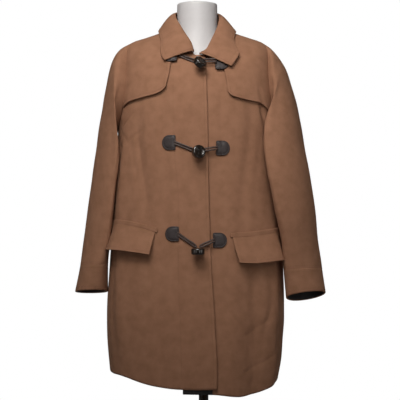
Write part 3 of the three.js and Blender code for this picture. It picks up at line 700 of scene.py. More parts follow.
def add_cape(side):
    cape = CAPES[side]
    low, inner = smooth_curve(cape["low"]), smooth_curve(cape["inner"])

    def angle_ends(v, level):
        return angle_at(inner(level), level), 90 - notch(level, CAPE_SIDE)

    def proud(u, v):
        free = CAPE_PROUD * np.maximum(1 - 2.6 * v, 0) ** 2 * (1 - u**4)
        sunk = (LAID + CLOTH + 0.6) * ramp(u, 0.86, 0.97) * ramp(v, 0.16, 0.0)
        return free + 1.5 * bell(u, 0.15) - sunk

    surface = laid_surface(side, angle_ends, lambda u: (low(u), NECK - 6 + 0 * u), proud)
    add_laid(f"cape_{side}", surface, CLOTH, 44, 48)


FLAPS = {
    "over": dict(inner=(28.6, 27), outer=75, top=(980, 996, 997), low=(927, 933, 937)),
    "under": dict(inner=(25.2, 23.2), outer=66, top=(977, 984, 989), low=(921, 923, 926)),
}
FLAP_PROUD = 19.0
WELT_HIGH = 9.0
WELT_THICK = 2.8
WELT_PAST = 1.5


def arc_of(a, b, c):
    """A curve through its start, middle and end."""
    return lambda u: a * (1 - u) * (1 - 2 * u) + 4 * b * u * (1 - u) + c * u * (2 * u - 1)


def add_pocket(side):
    flap = FLAPS[side]
    top, low = arc_of(*flap["top"]), arc_of(*flap["low"])

    def flap_ends(v, level):
        return mix(*flap["inner"], v), flap["outer"]

    def stands(u, v):
        corner = -2.5 * bell(u, 0.06) * bell(v, 0.12)
        return FLAP_PROUD * (1 - v) ** 1.3 * (1 - 0.7 * ramp(u, 0.75, 1)) + corner

    surface = laid_surface(side, flap_ends, lambda u: (low(u), top(u)), stands)
    add_laid(f"pocket_flap_{side}", surface, CLOTH, 36, 18)

    def welt_ends(v, level):
        return flap["inner"][1] - WELT_PAST, flap["outer"] + WELT_PAST

    def welt_levels(u):
        return top(u) + 2 * SEAM, top(u) + 2 * SEAM + WELT_HIGH

    welt = laid_surface(side, welt_ends, welt_levels, lambda u, v: SEAM)
    add_laid(f"pocket_welt_{side}", welt, WELT_THICK, 36, 4, stitched=False)


for side in ("over", "under"):
    add_cape(side)
    add_pocket(side)

# Sleeves, as in the frame
CUFF_ROW = 10
LAST_ROW = 11
SLEEVE_COLUMNS = [
    "row", "out", "fore", "level", "lean", "across", "deep", "turn", "pull", "fore_up", "out_up",
]
sleeve_over = smooth_table(SLEEVE_COLUMNS, [
    [0, 182.5, 0, 1342.5, 96.6, 108, 66, 0, 0, 0, 0],
    [1, 195.8, 2, 1330, 92, 106, 70, 0, 2, 0, 0],
    [2, 204.8, 3, 1311.5, 88.2, 101.6, 74, 0, 5, 0, 0],
    [3, 211.8, 3, 1287, 85, 92.5, 76, 2, 10, 0, 0],
    [4, 218, 3, 1252.5, 80.2, 76, 78, 4, 15, 0, 0],
    [5, 221.5, 2, 1215, 70.7, 57, 79, 6, 19, 0, 0],
    [6, 227, 0, 1167, 46, 35.5, 80, 7, 22, 0, 0],
    [7, 235.5, 0, 1112, 14, 27.5, 79, 8, 22, 0, 0],
    [8, 244, 0, 1030, 0, 30, 76, 8, 20, 0, 0],
    [9, 252, 4, 955, 0, 32, 70, 8, 19, 3, 0],
    [10, 257, 9, 897, 0, 34, 63, 11, 7, 6, 1],
    [11, 263, 12, 833, 0, 40, 56, 18, 0, 8, 2],
])
sleeve_under = smooth_table(SLEEVE_COLUMNS, [
    [0, 182.5, 0, 1342.5, 96.6, 108, 66, 0, 0, 0, 0],
    [1, 192.5, 4, 1330, 93.2, 106, 70, 4, 2, 0, 0],
    [2, 203, 9, 1310.5, 88.6, 100.5, 73, 10, 6, 0, 0],
    [3, 211.5, 18, 1288.5, 83.8, 91, 75, 16, 10, 0, 0],
    [4, 217, 32, 1258, 78, 74, 76, 22, 22, 0, 0],
    [5, 221, 48, 1222, 67, 53, 76, 26, 26, 0, 0],
    [6, 226, 62, 1174, 42, 33.5, 75, 29, 25, 0, 0],
    [7, 235, 68, 1112, 12, 31, 75, 30, 22, 0, 0],
    [8, 247.5, 62, 1030, 0, 33, 74, 30, 17, 0, 0],
    [9, 257, 50, 955, 0, 34, 68, 28, 13, 3, 1],
    [10, 263, 46, 888, 0, 37, 62, 36, 8, 4, 6],
    [11, 270, 46, 825, 0, 41, 56, 40, 8, 5, 14],
])
sleeve_ring = {"over": sleeve_over, "under": sleeve_under}
SLEEVE_SEAM = 108.0
SLEEVE_SEAM_BULGE = 0.05
# Turns over which a sleeve's seam drops from the cape to the front
CAPE_ENDS_AT = {"over": (130, 90), "under": (140, 100)}
CUFF_LINING_ROW = 10.35
# Sleeve folds, across by turn (0 at the outer side, 90 in front) and along by row
OVER_FOLDS = [
    [95, 1.0, 110, 3.2, 7, 2.2, 26],
    [70, 1.5, 100, 4.6, 9, 2.0, 26],
    [128, 3.8, 100, 6.0, 8, 2.4, 26],
    [60, 5.0, 84, 7.4, 10, 1.8, 26],
    [30, 6.2, 60, 8.4, 11, 1.5, 26],
    [96, 6.6, 80, 9.2, 8, 1.6, 26],
    [20, 8.2, 50, 9.8, 10, 1.3, 26],
    [250, 2.0, 235, 5.0, 10, 2.4, 26],
    [215, 4.6, 250, 6.6, 10, 2.2, 26],
    [290, 5.4, 310, 8.0, 12, 2.0, 26],
    [-20, 3.0, -34, 5.5, 12, 1.5, 26],
]
UNDER_FOLDS = [
    [84, 1.0, 96, 3.4, 8, 3.0, 26],
    [62, 1.2, 78, 4.4, 9, 2.4, 26],
    [108, 2.6, 96, 5.6, 8, 2.6, 26],
    [40, 3.4, 62, 6.0, 11, 1.8, 26],
    [80, 5.6, 70, 8.4, 10, 2.0, 26],
    [48, 6.8, 66, 9.4, 10, 1.6, 26],
    [100, 7.6, 88, 9.6, 8, 1.6, 26],
    [20, 8.0, 38, 9.8, 11, 1.4, 26],
    [250, 2.0, 232, 5.0, 10, 2.4, 26],
    [220, 4.4, 250, 6.6, 10, 2.2, 26],
    [286, 5.2, 308, 7.8, 12, 2.0, 26],
    [-24, 3.2, -38, 5.6, 12, 1.5, 26],
]
SLEEVE_FOLDS = {"over": OVER_FOLDS, "under": UNDER_FOLDS}
SLEEVE_CALM = 0.55  # share of the folds' depths
SLEEVE_ARC = np.radians(75.0)  # mm to a degree of turn, at the mean radius
ROW_LENGTH = 60.0


def ring_point(ring, turn):
    out, fore = cos_of(turn), sin_of(turn)
    cos_turn, sin_turn = cos_of(ring["turn"]), sin_of(ring["turn"])
    across = ring["across"] * out * cos_of(ring["lean"])
    pull = ring["pull"] * np.maximum(fore, 0) ** 2
    x = ring["out"] + across * cos_turn - ring["deep"] * fore * sin_turn - pull
    y = ring["fore"] + across * sin_turn + ring["deep"] * fore * cos_turn
    up = ring["fore_up"] * fore + ring["out_up"] * out
    z = ring["level"] + ring["across"] * out * sin_of(ring["lean"]) + up
    return stack(x, -y, z)


def sleeve_point(side, turn, row):
    sign = PANELS[side]["sign"]
    mirror = np.array([sign, 1, 1])
    point = ring_point(sleeve_ring[side](row), turn) * mirror
    start = ring_point(sleeve_ring[side](0 * row), turn) * mirror
    angle = sign * (90 - ARMHOLE_ANGLE * sin_of(turn))
    normal = normal_of(body_point, angle, armhole_level(turn), 0.5, 1.0)
    level_with_cape = ramp(turn, -25, 0) * ramp(turn, *CAPE_ENDS_AT[side]) * (LAID + CLOTH - 0.2)
    seam = body_point(angle, armhole_level(turn)) + normal * (SEAM + level_with_cape)[..., None]
    return point + (seam - start) * (np.maximum(1 - row / 2, 0) ** 2)[..., None]


def sleeve_place(side, turn, row, lift):
    turn, row = np.broadcast_arrays(np.asarray(turn, float), np.asarray(row, float))

    def surface(a, b):
        return sleeve_point(side, a, np.clip(b, 0, LAST_ROW))

    normal = normal_of(surface, turn, row, 2.0, 0.02) * PANELS[side]["sign"]
    calm = ramp(row, 0, 0.8) * (1 - 0.8 * ramp(row, 9.6, 10.2))
    folds = fold_depth(SLEEVE_FOLDS[side], turn, row, SLEEVE_ARC, ROW_LENGTH, whole_turn=True)
    uneven = SLEEVE_CALM * folds * calm - SLACK * calm * slack(turn * 1.3, row * ROW_LENGTH, 2)
    return surface(turn, row) + normal * np.asarray(lift - uneven)[..., None]


def add_sleeve(side):
    rows = CUFF_ROW * with_edges(148, 0.0004)[:, None]
    top = SLEEVE_SEAM * (2 * with_edges(72, 0.001)[None, :] - 1)
    under = mix(SLEEVE_SEAM, 360 - SLEEVE_SEAM, with_edges(48, 0.0015)[None, :])
    around = np.linspace(0, 360, 121)[None, :-1]
    cuff_rows = np.linspace(CUFF_ROW + 0.01, LAST_ROW, 22)[:, None]
    lining_rows = np.linspace(CUFF_LINING_ROW, LAST_ROW - 0.02, 12)[:, None]
    lined = -CLOTH - 2 * SEAM
    parts = [
        ("topsleeve", top, rows, 0.0, CLOTH, False, "wool", WOOL),
        ("undersleeve", under, rows, 0.0, CLOTH, False, "wool", WOOL),
        ("cuff", around, cuff_rows, 0.0, CLOTH, True, "wool", WOOL),
        ("cuff_lining", around, lining_rows, lined, LINING, True, "black_lining", NEAR_BLACK_CLOTH),
    ]
    for name, turn, row, lift, thick, closed, slot, material in parts:
        outer = sleeve_place(side, turn, row, lift)
        inner = sleeve_place(side, turn, row, lift - thick)
        bulge = ROUND if closed else SLEEVE_SEAM_BULGE
        name = f"{name}_{side}"
        new_piece(name + "_cloth", *wall(outer, inner, closed, bulge), slot, material, name)
    turns = np.linspace(0, 360, 200)
    for row in (CUFF_ROW - 0.11, CUFF_ROW + 0.13, LAST_ROW - 0.13):
        path = sleeve_place(side, turns, 0 * turns + row, STITCH_LIFT)
        out = unit(sleeve_place(side, turns, 0 * turns + row, 5.0) - path)
        stitch_along("wool", path, out)


for side in ("over", "under"):
    add_sleeve(side)

# Collar, as in the frame
COLLAR_COLUMNS = [
    "at", "roll_angle", "roll_radius", "roll_height", "edge_angle", "edge_level", "edge_lift",
]
collar_ring = smooth_table(COLLAR_COLUMNS, [
    [0, -6, 89, 1421, -26.5, 1443, 13],
    [1, -12, 83, 1445, -33, 1453, 12],
    [2, -26.6, 72, 1469, -46, 1463, 11],
    [3, -48, 62, 1494, -61, 1471, 9],
    [4, -80, 58, 1517, -88, 1473.5, 8],
    [5, -115, 59.5, 1530, -120, 1471, 7],
    [6, -149, 62, 1535, -152, 1463, 6],
    [7, -180, 62, 1536, -180, 1457, 6],
    [8, -211, 62, 1535, -208, 1463, 6],
    [9, -245, 59.5, 1527, -240, 1471, 7],
    [10, -280, 59, 1508, -272, 1473, 8],
    [11, -310, 65, 1479, -295, 1471.5, 9],
    [12, -330.6, 73.5, 1450, -311, 1463, 11],
    [13, -343, 82, 1427, -327, 1443, 13],
    [14, -356, 91, 1415, -334, 1421, 14],
])
COLLAR_LAST = 14
FALL_THICK = 4.0
FALL_UNEVEN = 0.6
ROLL_OUT = 12.0
ROLL_UP = 5.0
STAND_END = 12.7
STAND_GAP = 1.3


def roll_point(ring, radius, up=0.0):
    angle = ring["roll_angle"]
    return stack(radius * sin_of(angle), -radius * cos_of(angle), ring["roll_height"] + up)


def fall_point(at, v):
    ring = collar_ring(at)
    start = roll_point(ring, ring["roll_radius"] - CLOTH)
    middle = roll_point(ring, ring["roll_radius"] + ROLL_OUT, ROLL_UP)
    end = body_place(ring["edge_angle"], ring["edge_level"], ring["edge_lift"])
    v = np.asarray(v)[..., None]
    return start * (1 - v) ** 2 + middle * 2 * v * (1 - v) + end * v**2


def fall_place(at, v, lift):
    at, v = np.broadcast_arrays(np.asarray(at, float), np.asarray(v, float))

    def surface(a, b):
        return fall_point(np.clip(a, 0, COLLAR_LAST), np.clip(b, 0, 1))

    normal = normal_of(surface, at, v, 0.02, 0.01)
    normal = normal * np.where(normal[..., 2:] < 0, -1, 1)
    return surface(at, v) + normal * np.asarray(lift + 0 * at)[..., None]


def fall_slack(at, v):
    return FALL_UNEVEN * slack(at * 26, v * 70, 5)


def add_fall():
    at = COLLAR_LAST * with_edges(189, 0.03 / COLLAR_LAST)[:, None]
    v = with_edges(30, 0.012)[None, :]
    uneven = fall_slack(at, v)
    outer = fall_place(at, v, FALL_THICK / 2 - 0.25 * bell(v - 0.86, 0.05) + uneven)
    inner = fall_place(at, v, -FALL_THICK / 2 + uneven)
    new_piece("collar_fall_cloth", *wall(outer, inner), "wool", WOOL, "collar_fall")
    width = length_along(fall_point(np.full(40, 7.0), np.linspace(0, 1, 40)))[-1]
    edge = 1 - TOPSTITCH / width
    runs = [
        (np.linspace(0.12, COLLAR_LAST - 0.12, 400), np.full(400, edge)),
        (np.full(60, 0.16), np.linspace(0.12, edge, 60)),
        (np.full(60, COLLAR_LAST - 0.16), np.linspace(0.12, edge, 60)),
    ]
    for a, b in runs:
        path = fall_place(a, b, FALL_THICK / 2 + 0.3 + fall_slack(a, b))
        stitch_along("wool", path, unit(fall_place(a, b, 6.0) - fall_place(a, b, 0.0)))


def add_collar_stand():
    at = np.linspace(0, STAND_END, 150)
    ring = collar_ring(at)
    angle = ring["roll_angle"]
    lifted = np.where(angle > -180, over_lift(angle, NECK), 0) + STAND_GAP
    foot = body_place(angle, np.full_like(at, NECK), lifted) + [0, 0, STAND_GAP / 2]
    inward = unit(-foot * [1, 1, 0]) * CLOTH
    under = -FALL_THICK / 2 - STAND_GAP
    outer_head, inner_head = fall_place(at, 0.1, under), fall_place(at, 0.0, under)
    v = with_edges(9, 0.03)[None, :, None]
    outer = mix(foot[:, None], outer_head[:, None], v)
    inner = mix((foot + inward)[:, None], inner_head[:, None], v)
    new_piece("collar_stand_cloth", *wall(outer, inner), "wool", WOOL, "collar_stand")


add_fall()
add_collar_stand()


# Closed lofts over rings of points
def loft(rings):
    """Points and triangles of a closed loft over rings of equal count."""
    rings = np.asarray(rings, float)
    count, around = rings.shape[:2]
    index = np.arange(count * around).reshape(count, around)
    ahead = np.roll(index, -1, axis=1)
    a, b, c, d = index[:-1], ahead[:-1], ahead[1:], index[1:]
    faces = [np.stack([a, b, c], -1).reshape(-1, 3), np.stack([a, c, d], -1).reshape(-1, 3)]
    first, last = count * around, count * around + 1
    faces.append(np.stack([ahead[0], index[0], np.full(around, first)], -1))
    faces.append(np.stack([index[-1], ahead[-1], np.full(around, last)], -1))
    ends = [rings[0].mean(0), rings[-1].mean(0)]
    return np.concatenate([rings.reshape(-1, 3), ends]), np.concatenate(faces)


def circles(profile, around):
    """Rings about the Z axis from (radius, height) pairs."""
    turn = round_turns(around)
    return [np.stack([r * np.cos(turn), r * np.sin(turn), np.full(around, z)], -1) for r, z in profile]


def tube(path, radius, around):
    """A loft along a path, with rounded ends."""
    tangent = unit(np.gradient(path, axis=0))
    side = unit(np.cross(tangent[0], [0.3, 0.2, 1.0]))
    turn = round_turns(around)[:, None]
    rings = []
    for point, along in zip(path, tangent):
        side = unit(side - along * np.dot(side, along))
        rings.append(point + radius * (np.cos(turn) * side + np.sin(turn) * np.cross(along, side)))
    capped = [path[0] + (rings[0] - path[0]) * 0.6 - tangent[0] * radius * 0.3, *rings]
    capped.append(path[-1] + (rings[-1] - path[-1]) * 0.6 + tangent[-1] * radius * 0.3)
    return loft(capped)


def smooth_path(points, each=14):
    """A smooth curve through points."""
    points = np.asarray(points, float)
    padded = np.concatenate([[2 * points[0] - points[1]], points, [2 * points[-1] - points[-2]]])
    t = np.linspace(0, 1, each, endpoint=False)[:, None]
    runs = []
    for a, b, c, d in zip(padded, padded[1:], padded[2:], padded[3:]):
        bend = (2 * a - 5 * b + 4 * c - d) * t**2 + (3 * b - 3 * c + d - a) * t**3
        runs.append(b + 0.5 * ((c - a) * t + bend))
    return np.concatenate([*runs, points[-1:]])


# Fastenings
def front_place(side, x, z, lift):
    """Places on a front by their distance from the middle and their height."""
    part = PANELS[side]
    x, z = np.broadcast_arrays(np.asarray(x, float), np.asarray(z, float))
    level, angle = z, 0 * x
    for _ in range(30):
        ring = body_ring(level)
        full = 1 + ring["square"] * sin_of(2 * angle) ** 2
        angle = np.degrees(np.arcsin(np.clip((x - ring["shift"]) / (ring["wide"] * full), -1, 1)))
        drop = ring["drop_front"] * cos_of(angle) ** DROP_POWER
        level = mix(level, z + drop + part["hang"](angle) * ramp(level, UNDERARM, HEM), 0.5)
    return body_place(angle, level, part["lift"](angle, level) + lift, part["hang"](angle))


TAB_WIDE = 33.0
TAB_HIGH = 36.0
TAB_LAID = 0.5
TAB_OVER_CAPE = 5.8
CORD_RADIUS = 2.2
CORD_SIDES = 12
CORD_SPREAD = 2.8
CORD_LIFT = 3.0
LOOP_LIFT = 8.0
TOGGLE_SHORT = -4.0
TOGGLE_RADIUS = 16.2
TOGGLE_THICK = 15.6
TOGGLE_RIM = 4.0
TOGGLE_DISH = 1.3
TOGGLE_HOLE = 1.7
TOGGLE_HOLES_AT = 3.6
TOGGLE_HOLE_DEEP = 3.0
TOGGLE_AROUND = 72

# x and z of each tab and toggle. The cords end above the toggle's middle (raised), the loop past it (reach).
# tip: the disc's axis from straight ahead towards up; swing: towards the wearer's left; lift: its middle
# above the cloth; laid: the tabs above it
FASTENINGS = [
    dict(
        name="top", over=(-65, 1408), under=(60, 1390), toggle=(7, 1375), raised=13, reach=9,
        tip=20, swing=40, lift=24.4, laid=TAB_OVER_CAPE,
    ),
    dict(
        name="middle", over=(-67, 1197), under=(61.5, 1184), toggle=(3.6, 1173.5), raised=2, reach=9,
        tip=8, swing=22, lift=21, laid=TAB_LAID,
    ),
    dict(
        name="bottom", over=(-59, 979), under=(54, 964), toggle=(2, 937), raised=12, reach=-5,
        tip=88, swing=0, lift=22, laid=TAB_LAID,
    ),
]
# The tab's section: inset from its outline and height
TAB_SECTION = [
    (1.0, 0.0), (0.2, 0.3), (0.0, 1.0), (0.1, 1.9), (0.5, 2.6), (1.2, 3.0), (2.2, 3.1),
    (2.9, 2.85), (3.4, 2.7), (3.9, 2.85), (4.7, 3.2), (6.5, 3.6), (9.0, 3.9), (12.0, 4.05),
]
TAB_STITCH = 3.4
TAB_CORNER = 4.0


def tab_outline(count=96):
    """The D of a tab, its straight edge towards +x, as (x, y) points."""
    half, straight, corner = TAB_HIGH / 2, TAB_WIDE / 2, TAB_CORNER
    turn = np.linspace(np.pi / 2, 3 * np.pi / 2, count // 2)
    bow = np.stack([straight * np.cos(turn), half * np.sin(turn)], -1)
    low = np.linspace(-np.pi / 2, 0, 8)
    bottom = np.stack([np.cos(low), np.sin(low)], -1) * corner + [straight - corner, corner - half]
    top = bottom[::-1] * [1, -1]
    points = np.concatenate([bow, bottom, top])
    closed = np.concatenate([points, points[:1]])
    length = length_along(closed)
    return read_along(np.linspace(0, length[-1], count, endpoint=False), length, closed)


def add_tab(name, side, x, z, laid):
    outline = tab_outline()
    if side == "under":
        outline = -outline
    reach = np.linalg.norm(outline, axis=1, keepdims=True)

    def ring(inset, height):
        flat = outline * (1 - inset / reach)
        return front_place(side, x + flat[:, 0], z + flat[:, 1], laid + height)

    rings = [ring(inset, height) for inset, height in TAB_SECTION]
    new_piece(name + "_leather", *shifted(loft(rings)), "leather", LEATHER, name)
    path = ring(TAB_STITCH, 2.9)
    out = unit(ring(TAB_STITCH, 6.0) - path)
    stitch_along("leather", path, out, 3.4, 2.4, 0.34)


def shifted(made):
    """Points and faces, moved from the coat's middle to the frame's."""
    points, faces = made
    return points + ORIGIN, faces


def add_cord(name, fastening, side, reach, lift):
    tab, toggle = fastening[side], fastening["toggle"]
    to_toggle = np.sign(toggle[0] - tab[0])
    begin = tab[0] + to_toggle * (TAB_WIDE / 2 - 3.0)
    bend = toggle[0] + to_toggle * reach
    low = fastening["laid"] + CORD_LIFT - 0.5

    def at(t, spread):
        height = mix(low, lift, float(ramp(t, 0, 0.45)))
        z = mix(tab[1], toggle[1] + fastening["raised"], t) + spread
        return front_place("over", mix(begin, bend, t), z, height)

    there = [at(t, CORD_SPREAD) for t in (0, 0.3, 0.6, 0.9)]
    back = [at(t, -CORD_SPREAD) for t in (0.9, 0.6, 0.3, 0)]
    path = smooth_path([*there, at(1, 0), *back])
    new_piece(name + "_strands", *shifted(tube(path, CORD_RADIUS, CORD_SIDES)), "cord", CORD, name)


def toggle_face(radius):
    """How high the disc's face is at a radius: dished inside a round rim."""
    edge = np.maximum(radius - (TOGGLE_RADIUS - TOGGLE_RIM), 0) / TOGGLE_RIM
    dish = TOGGLE_DISH * (1 - ramp(radius, 7.5, 11.5))
    return TOGGLE_THICK / 2 - dish - TOGGLE_RIM * (1 - np.sqrt(np.maximum(1 - edge**2, 0)))


def add_toggle(name, toggle, tip, swing, lift):
    turn = round_turns(TOGGLE_AROUND)
    rim = TOGGLE_RADIUS - np.array([0.5, 0.2, 0.05, 0.0])
    radii = np.concatenate([np.linspace(0.4, 8, 20), np.linspace(8.6, TOGGLE_RADIUS - 1, 10), rim])
    holes = [(a * TOGGLE_HOLES_AT, b * TOGGLE_HOLES_AT) for a in (-1, 1) for b in (-1, 1)]
    rings = []
    for radius in radii:
        x, y = radius * np.cos(turn), radius * np.sin(turn)
        height = np.full(TOGGLE_AROUND, toggle_face(radius))
        for hx, hy in holes:
            away = np.hypot(x - hx, y - hy)
            height = height - TOGGLE_HOLE_DEEP * (1 - ramp(away, TOGGLE_HOLE - 0.5, TOGGLE_HOLE + 0.3))
        rings.append(np.stack([x, y, height], -1))
    rings += circles([(radius, -toggle_face(radius)) for radius in radii[::-1]], TOGGLE_AROUND)
    points, faces = loft(rings)
    a, b = np.radians(-tip), np.radians(swing)
    tipped = points @ np.array([[1, 0, 0], [0, np.cos(a), np.sin(a)], [0, -np.sin(a), np.cos(a)]])
    turned = tipped @ np.array([[np.cos(b), 0, -np.sin(b)], [0, 1, 0], [np.sin(b), 0, np.cos(b)]])
    x, z = toggle
    here = front_place("over", x, z, lift)
    right = unit(front_place("over", x + 8, z, lift) - front_place("over", x - 8, z, lift))
    up = unit(front_place("over", x, z + 8, lift) - front_place("over", x, z - 8, lift))
    out = unit(np.cross(right, up))
    up = np.cross(out, right)
    placed = here + turned @ np.stack([right, up, out])
    new_piece(name + "_disc", placed + ORIGIN, faces, "toggle", HORN, name)


for fastening in FASTENINGS:
    label = fastening["name"]
    for side in ("over", "under"):
        add_tab(f"tab_{label}_{side}", side, *fastening[side], fastening["laid"])
    add_cord(f"toggle_cord_{label}", fastening, "over", TOGGLE_SHORT, CORD_LIFT)
    add_cord(f"loop_cord_{label}", fastening, "under", fastening["reach"], LOOP_LIFT)
    add_toggle(f"toggle_{label}", *[fastening[key] for key in ("toggle", "tip", "swing", "lift")])

topstitching = add_stitching("topstitching", "wool", WOOL_THREAD)
add_stitching("tab_stitching", "leather", CORD)

# The cut of each sheet of cloth: flat width and length in m, area in m2, how it is held and what carries it
CUTS = {
    "front_over": (0.34, 0.89, 0.258, "draped", ["dress_form"]),
    "front_under": (0.28, 0.89, 0.216, "draped", ["dress_form"]),
    "underlap_facing": (0.07, 0.86, 0.0444, "hung", ["front_under"]),
    "back": (0.59, 0.88, 0.47, "draped", ["dress_form"]),
    "cape_over": (0.16, 0.22, 0.025, "laid", ["front_over"]),
    "cape_under": (0.165, 0.23, 0.0266, "laid", ["front_under"]),
    "pocket_flap_over": (0.175, 0.066, 0.0104, "hung", ["pocket_welt_over"]),
    "pocket_flap_under": (0.165, 0.068, 0.0105, "hung", ["pocket_welt_under"]),
    "pocket_welt_over": (0.175, 0.012, 0.0019, "laid", ["front_over"]),
    "pocket_welt_under": (0.175, 0.012, 0.0019, "laid", ["front_under"]),
    "topsleeve_over": (0.28, 0.48, 0.108, "hung", ["front_over", "back"]),
    "undersleeve_over": (0.17, 0.42, 0.058, "hung", ["front_over", "back"]),
    "topsleeve_under": (0.285, 0.5, 0.116, "hung", ["front_under", "back"]),
    "undersleeve_under": (0.175, 0.44, 0.0625, "hung", ["front_under", "back"]),
    "cuff_over": (0.32, 0.066, 0.0204, "hung", ["topsleeve_over"]),
    "cuff_under": (0.32, 0.066, 0.0207, "hung", ["topsleeve_under"]),
    "cuff_lining_over": (0.3, 0.041, 0.012, "hung", ["cuff_over"]),
    "cuff_lining_under": (0.3, 0.041, 0.012, "hung", ["cuff_under"]),
    "collar_fall": (0.5, 0.11, 0.0445, "folded", ["collar_stand"]),
    "collar_stand": (0.42, 0.045, 0.0155, "folded", ["back"]),
}


def declare_cuts():
    for name, (width, length, area, held, carriers) in CUTS.items():
        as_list(carriers)


declare_cuts()

# Dress form, pole and base, as in the frame
REST = 0.5
SHOULDER_SEAT = (CLOTH + REST) / np.cos(np.radians(15))
FORM_COLUMNS = ["level", "wide", "front", "back", "drop"]
FORM_ROWS = [
    [806, 138, 84, 92, 0],
    [812, 148, 92, 100, 0],
    [880, 163, 104, 114, 0],
    [960, 156, 100, 112, 0],
    [1060, 124, 84, 90, 0],
    [1150, 136, 102, 102, 0],
    [1230, 152, 121, 110, 0],
    [1300, 156, 114, 115, 6],
    [1360, 160, 101, 115, 20],
    [1400, 161, 92, 111, 34],
    [1425, 157, 86, 104, 47],
    [1441, 147, 82, 97, 56],
    [1460 - SHOULDER_SEAT, 124, 80, 90, 62],
    [1470 - SHOULDER_SEAT, 101, 77, 82, 66],
    [1477 - SHOULDER_SEAT, 83, 73, 72, 69],
    [1483 - SHOULDER_SEAT, 64, 66, 61, 70],
    [1485, 54, 58, 54, 50],
    [1495, 50.5, 51, 51, 20],
    [1512, 50, 50, 50, 0],
    [1545, 50, 50, 50, 0],
    [1549, 48.5, 48.5, 48.5, 0],
    [1550, 45, 45, 45, 0],
]
FORM_BOTTOM = 806.0
FORM_TOP = 1550.0
FORM_STRAIGHT = (1300, 1484)  # read straight from row to row here, to keep clear of the coat
POLE_RADIUS = 12.0
BASE_RADIUS = 170.0
BASE_THICK = 10.0
BASE_AROUND = 128
HUB_AROUND = 96
HUB_RADIUS = 27.0
HUB_HIGH = 42.0


def add_form():
    rows = np.array(FORM_ROWS)
    smooth = smooth_table(FORM_COLUMNS, FORM_ROWS)
    angle = np.linspace(-180, 180, 121)[:-1]
    sin, cos = sin_of(angle), cos_of(angle)
    rings = []
    for level in np.concatenate([np.linspace(FORM_BOTTOM, 1440, 90), np.linspace(1442, FORM_TOP, 110)]):
        ring = {key: float(value) for key, value in smooth(level).items()}
        if FORM_STRAIGHT[0] < level < FORM_STRAIGHT[1]:
            ring = {key: np.interp(level, rows[:, 0], rows[:, k]) for k, key in enumerate(FORM_COLUMNS)}
        deep = np.where(cos > 0, ring["front"], ring["back"])
        share = np.where(cos > 0, 1, 0.08)
        lower = ring["drop"] * share * np.abs(cos) ** DROP_POWER
        rings.append(np.stack([ring["wide"] * sin, -deep * cos, level - lower], -1))
    new_piece("form_body", *shifted(loft(rings)), "form", FORM_SKIN, "dress_form")


def add_stand():
    def round_edge(radius, top, size, count=6):
        turn = np.linspace(0, np.pi / 2, count)
        return [(radius - size + size * np.cos(t), top - size + size * np.sin(t)) for t in turn]

    foot, end = BASE_THICK + SEAM, FORM_BOTTOM - SEAM
    top, bore = foot + HUB_HIGH, POLE_RADIUS + SEAM
    base_edge = round_edge(BASE_RADIUS, BASE_THICK, 3)
    disc = [(1, 0), (BASE_RADIUS - 1, 0), (BASE_RADIUS, 1), *base_edge, (1, BASE_THICK)]
    pole = [(1, foot), (POLE_RADIUS, foot), (POLE_RADIUS, end), (1, end)]
    hub = [(HUB_RADIUS, foot), *round_edge(HUB_RADIUS, top, 4), (bore, top), (bore, foot)]
    for name, profile in [("base", disc), ("pole", pole)]:
        new_piece(name + "_steel", *loft(circles(profile, BASE_AROUND)), "stand", STEEL, name)
    index = np.arange(len(hub) * HUB_AROUND).reshape(len(hub), HUB_AROUND)
    index = np.concatenate([index, index[:1]])
    ahead = np.roll(index, -1, axis=1)
    faces = np.stack([index[:-1], ahead[:-1], ahead[1:], index[1:]], -1).reshape(-1, 4)
    new_piece("hub_steel", np.concatenate(circles(hub, HUB_AROUND)), faces, "stand", STEEL, "hub")


add_form()
add_stand()


# Studio
LIGHT_COLOUR = (1.0, 0.975, 0.94)
WORLD_LIGHT = 0.055
FLOOR_RADIUS = 2.6
FLOOR_GREY = 0.62
FLOOR_GLOW = 0.45  # keeps the floor pale to the camera without lighting the coat from below
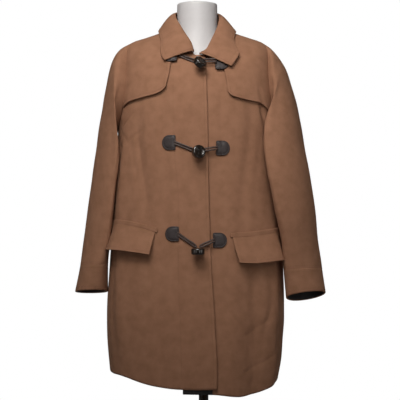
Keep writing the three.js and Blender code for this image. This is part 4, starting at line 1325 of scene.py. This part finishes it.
# Area lights: place, what they aim at and size, in m, power in W and spread in degrees
LIGHTS = {
    "key": ((-0.35, -1.3, 2.6), (0, -0.1, 1.45), (1.0, 0.7), 7.1, 80),
    "near": ((0.1, -1.6, 1.8), (0, 0, 1.4), (0.8, 0.6), 1.6, 80),
    "front": ((0.1, -3.6, 2.1), (0, 0, 1.2), (1.6, 1.6), 1.7, 180),
    "left": ((-2.7, -1.6, 1.2), (0, 0, 1.0), (0.9, 0.9), 3.2, 180),
    "right": ((2.7, -1.6, 1.2), (0, 0, 1.0), (0.9, 0.9), 4.6, 180),
    "sleeve_left": ((-1.0, -1.8, 1.05), (-0.31, 0, 1.02), (0.4, 0.5), 0.06, 30),
    "sleeve_right": ((1.0, -1.8, 1.05), (0.3, 0, 1.0), (0.4, 0.5), 0.085, 30),
    "back": ((0.0, 3.3, 1.5), (0, 0, 1.15), (1.2, 1.2), 42, 180),
}


def add_light(name, place, aim, size, power, spread):
    data = bpy.data.lights.new(name, "AREA")
    data.shape = "RECTANGLE"
    data.size, data.size_y = size
    data.energy = power
    data.spread = np.radians(spread)
    data.color = LIGHT_COLOUR
    lamp = bpy.data.objects.new(name, data)
    lamp.location = place
    away = np.array(place) - np.array(aim)
    tilt = np.arctan2(np.hypot(away[0], away[1]), away[2])
    lamp.rotation_euler = (tilt, 0, np.arctan2(away[0], -away[1]))
    bpy.context.scene.collection.objects.link(lamp)


def add_studio():
    scene = bpy.context.scene
    scene.view_settings.view_transform = "Standard"
    world = bpy.data.worlds.new("studio")
    world.use_nodes = True
    tree = world.node_tree
    background = tree.nodes["Background"]
    background.inputs["Color"].default_value = (1, 1, 1, 1)
    path = node(tree, "ShaderNodeLightPath")
    strength = node(tree, "ShaderNodeMapRange")
    set_inputs(strength, {"To Min": WORLD_LIGHT, "To Max": 1.0})
    tree.links.new(path.outputs["Is Camera Ray"], strength.inputs["Value"])
    tree.links.new(strength.outputs["Result"], background.inputs["Strength"])
    scene.world = world
    for name, values in LIGHTS.items():
        add_light(name, *values)
    new_floor()


def new_floor():
    mesh = bpy.data.meshes.new("floor")
    mesh.from_pydata(circles([(FLOOR_RADIUS, -0.001)], 64)[0].tolist(), [], [list(range(64))])
    floor = bpy.data.objects.new("floor", mesh)
    bpy.context.scene.collection.objects.link(floor)
    material, tree, main = shader("pale_floor")
    grey = (FLOOR_GREY, FLOOR_GREY, FLOOR_GREY, 1)
    set_inputs(main, {"Base Color": grey, "Roughness": 0.7, "Emission Color": (1, 1, 1, 1)})
    path = node(tree, "ShaderNodeLightPath")
    glow = node(tree, "ShaderNodeMath", operation="MULTIPLY")
    glow.inputs[1].default_value = FLOOR_GLOW
    tree.links.new(path.outputs["Is Camera Ray"], glow.inputs[0])
    tree.links.new(glow.outputs[0], main.inputs["Emission Strength"])
    mesh.materials.append(material)
    return floor


add_studio()
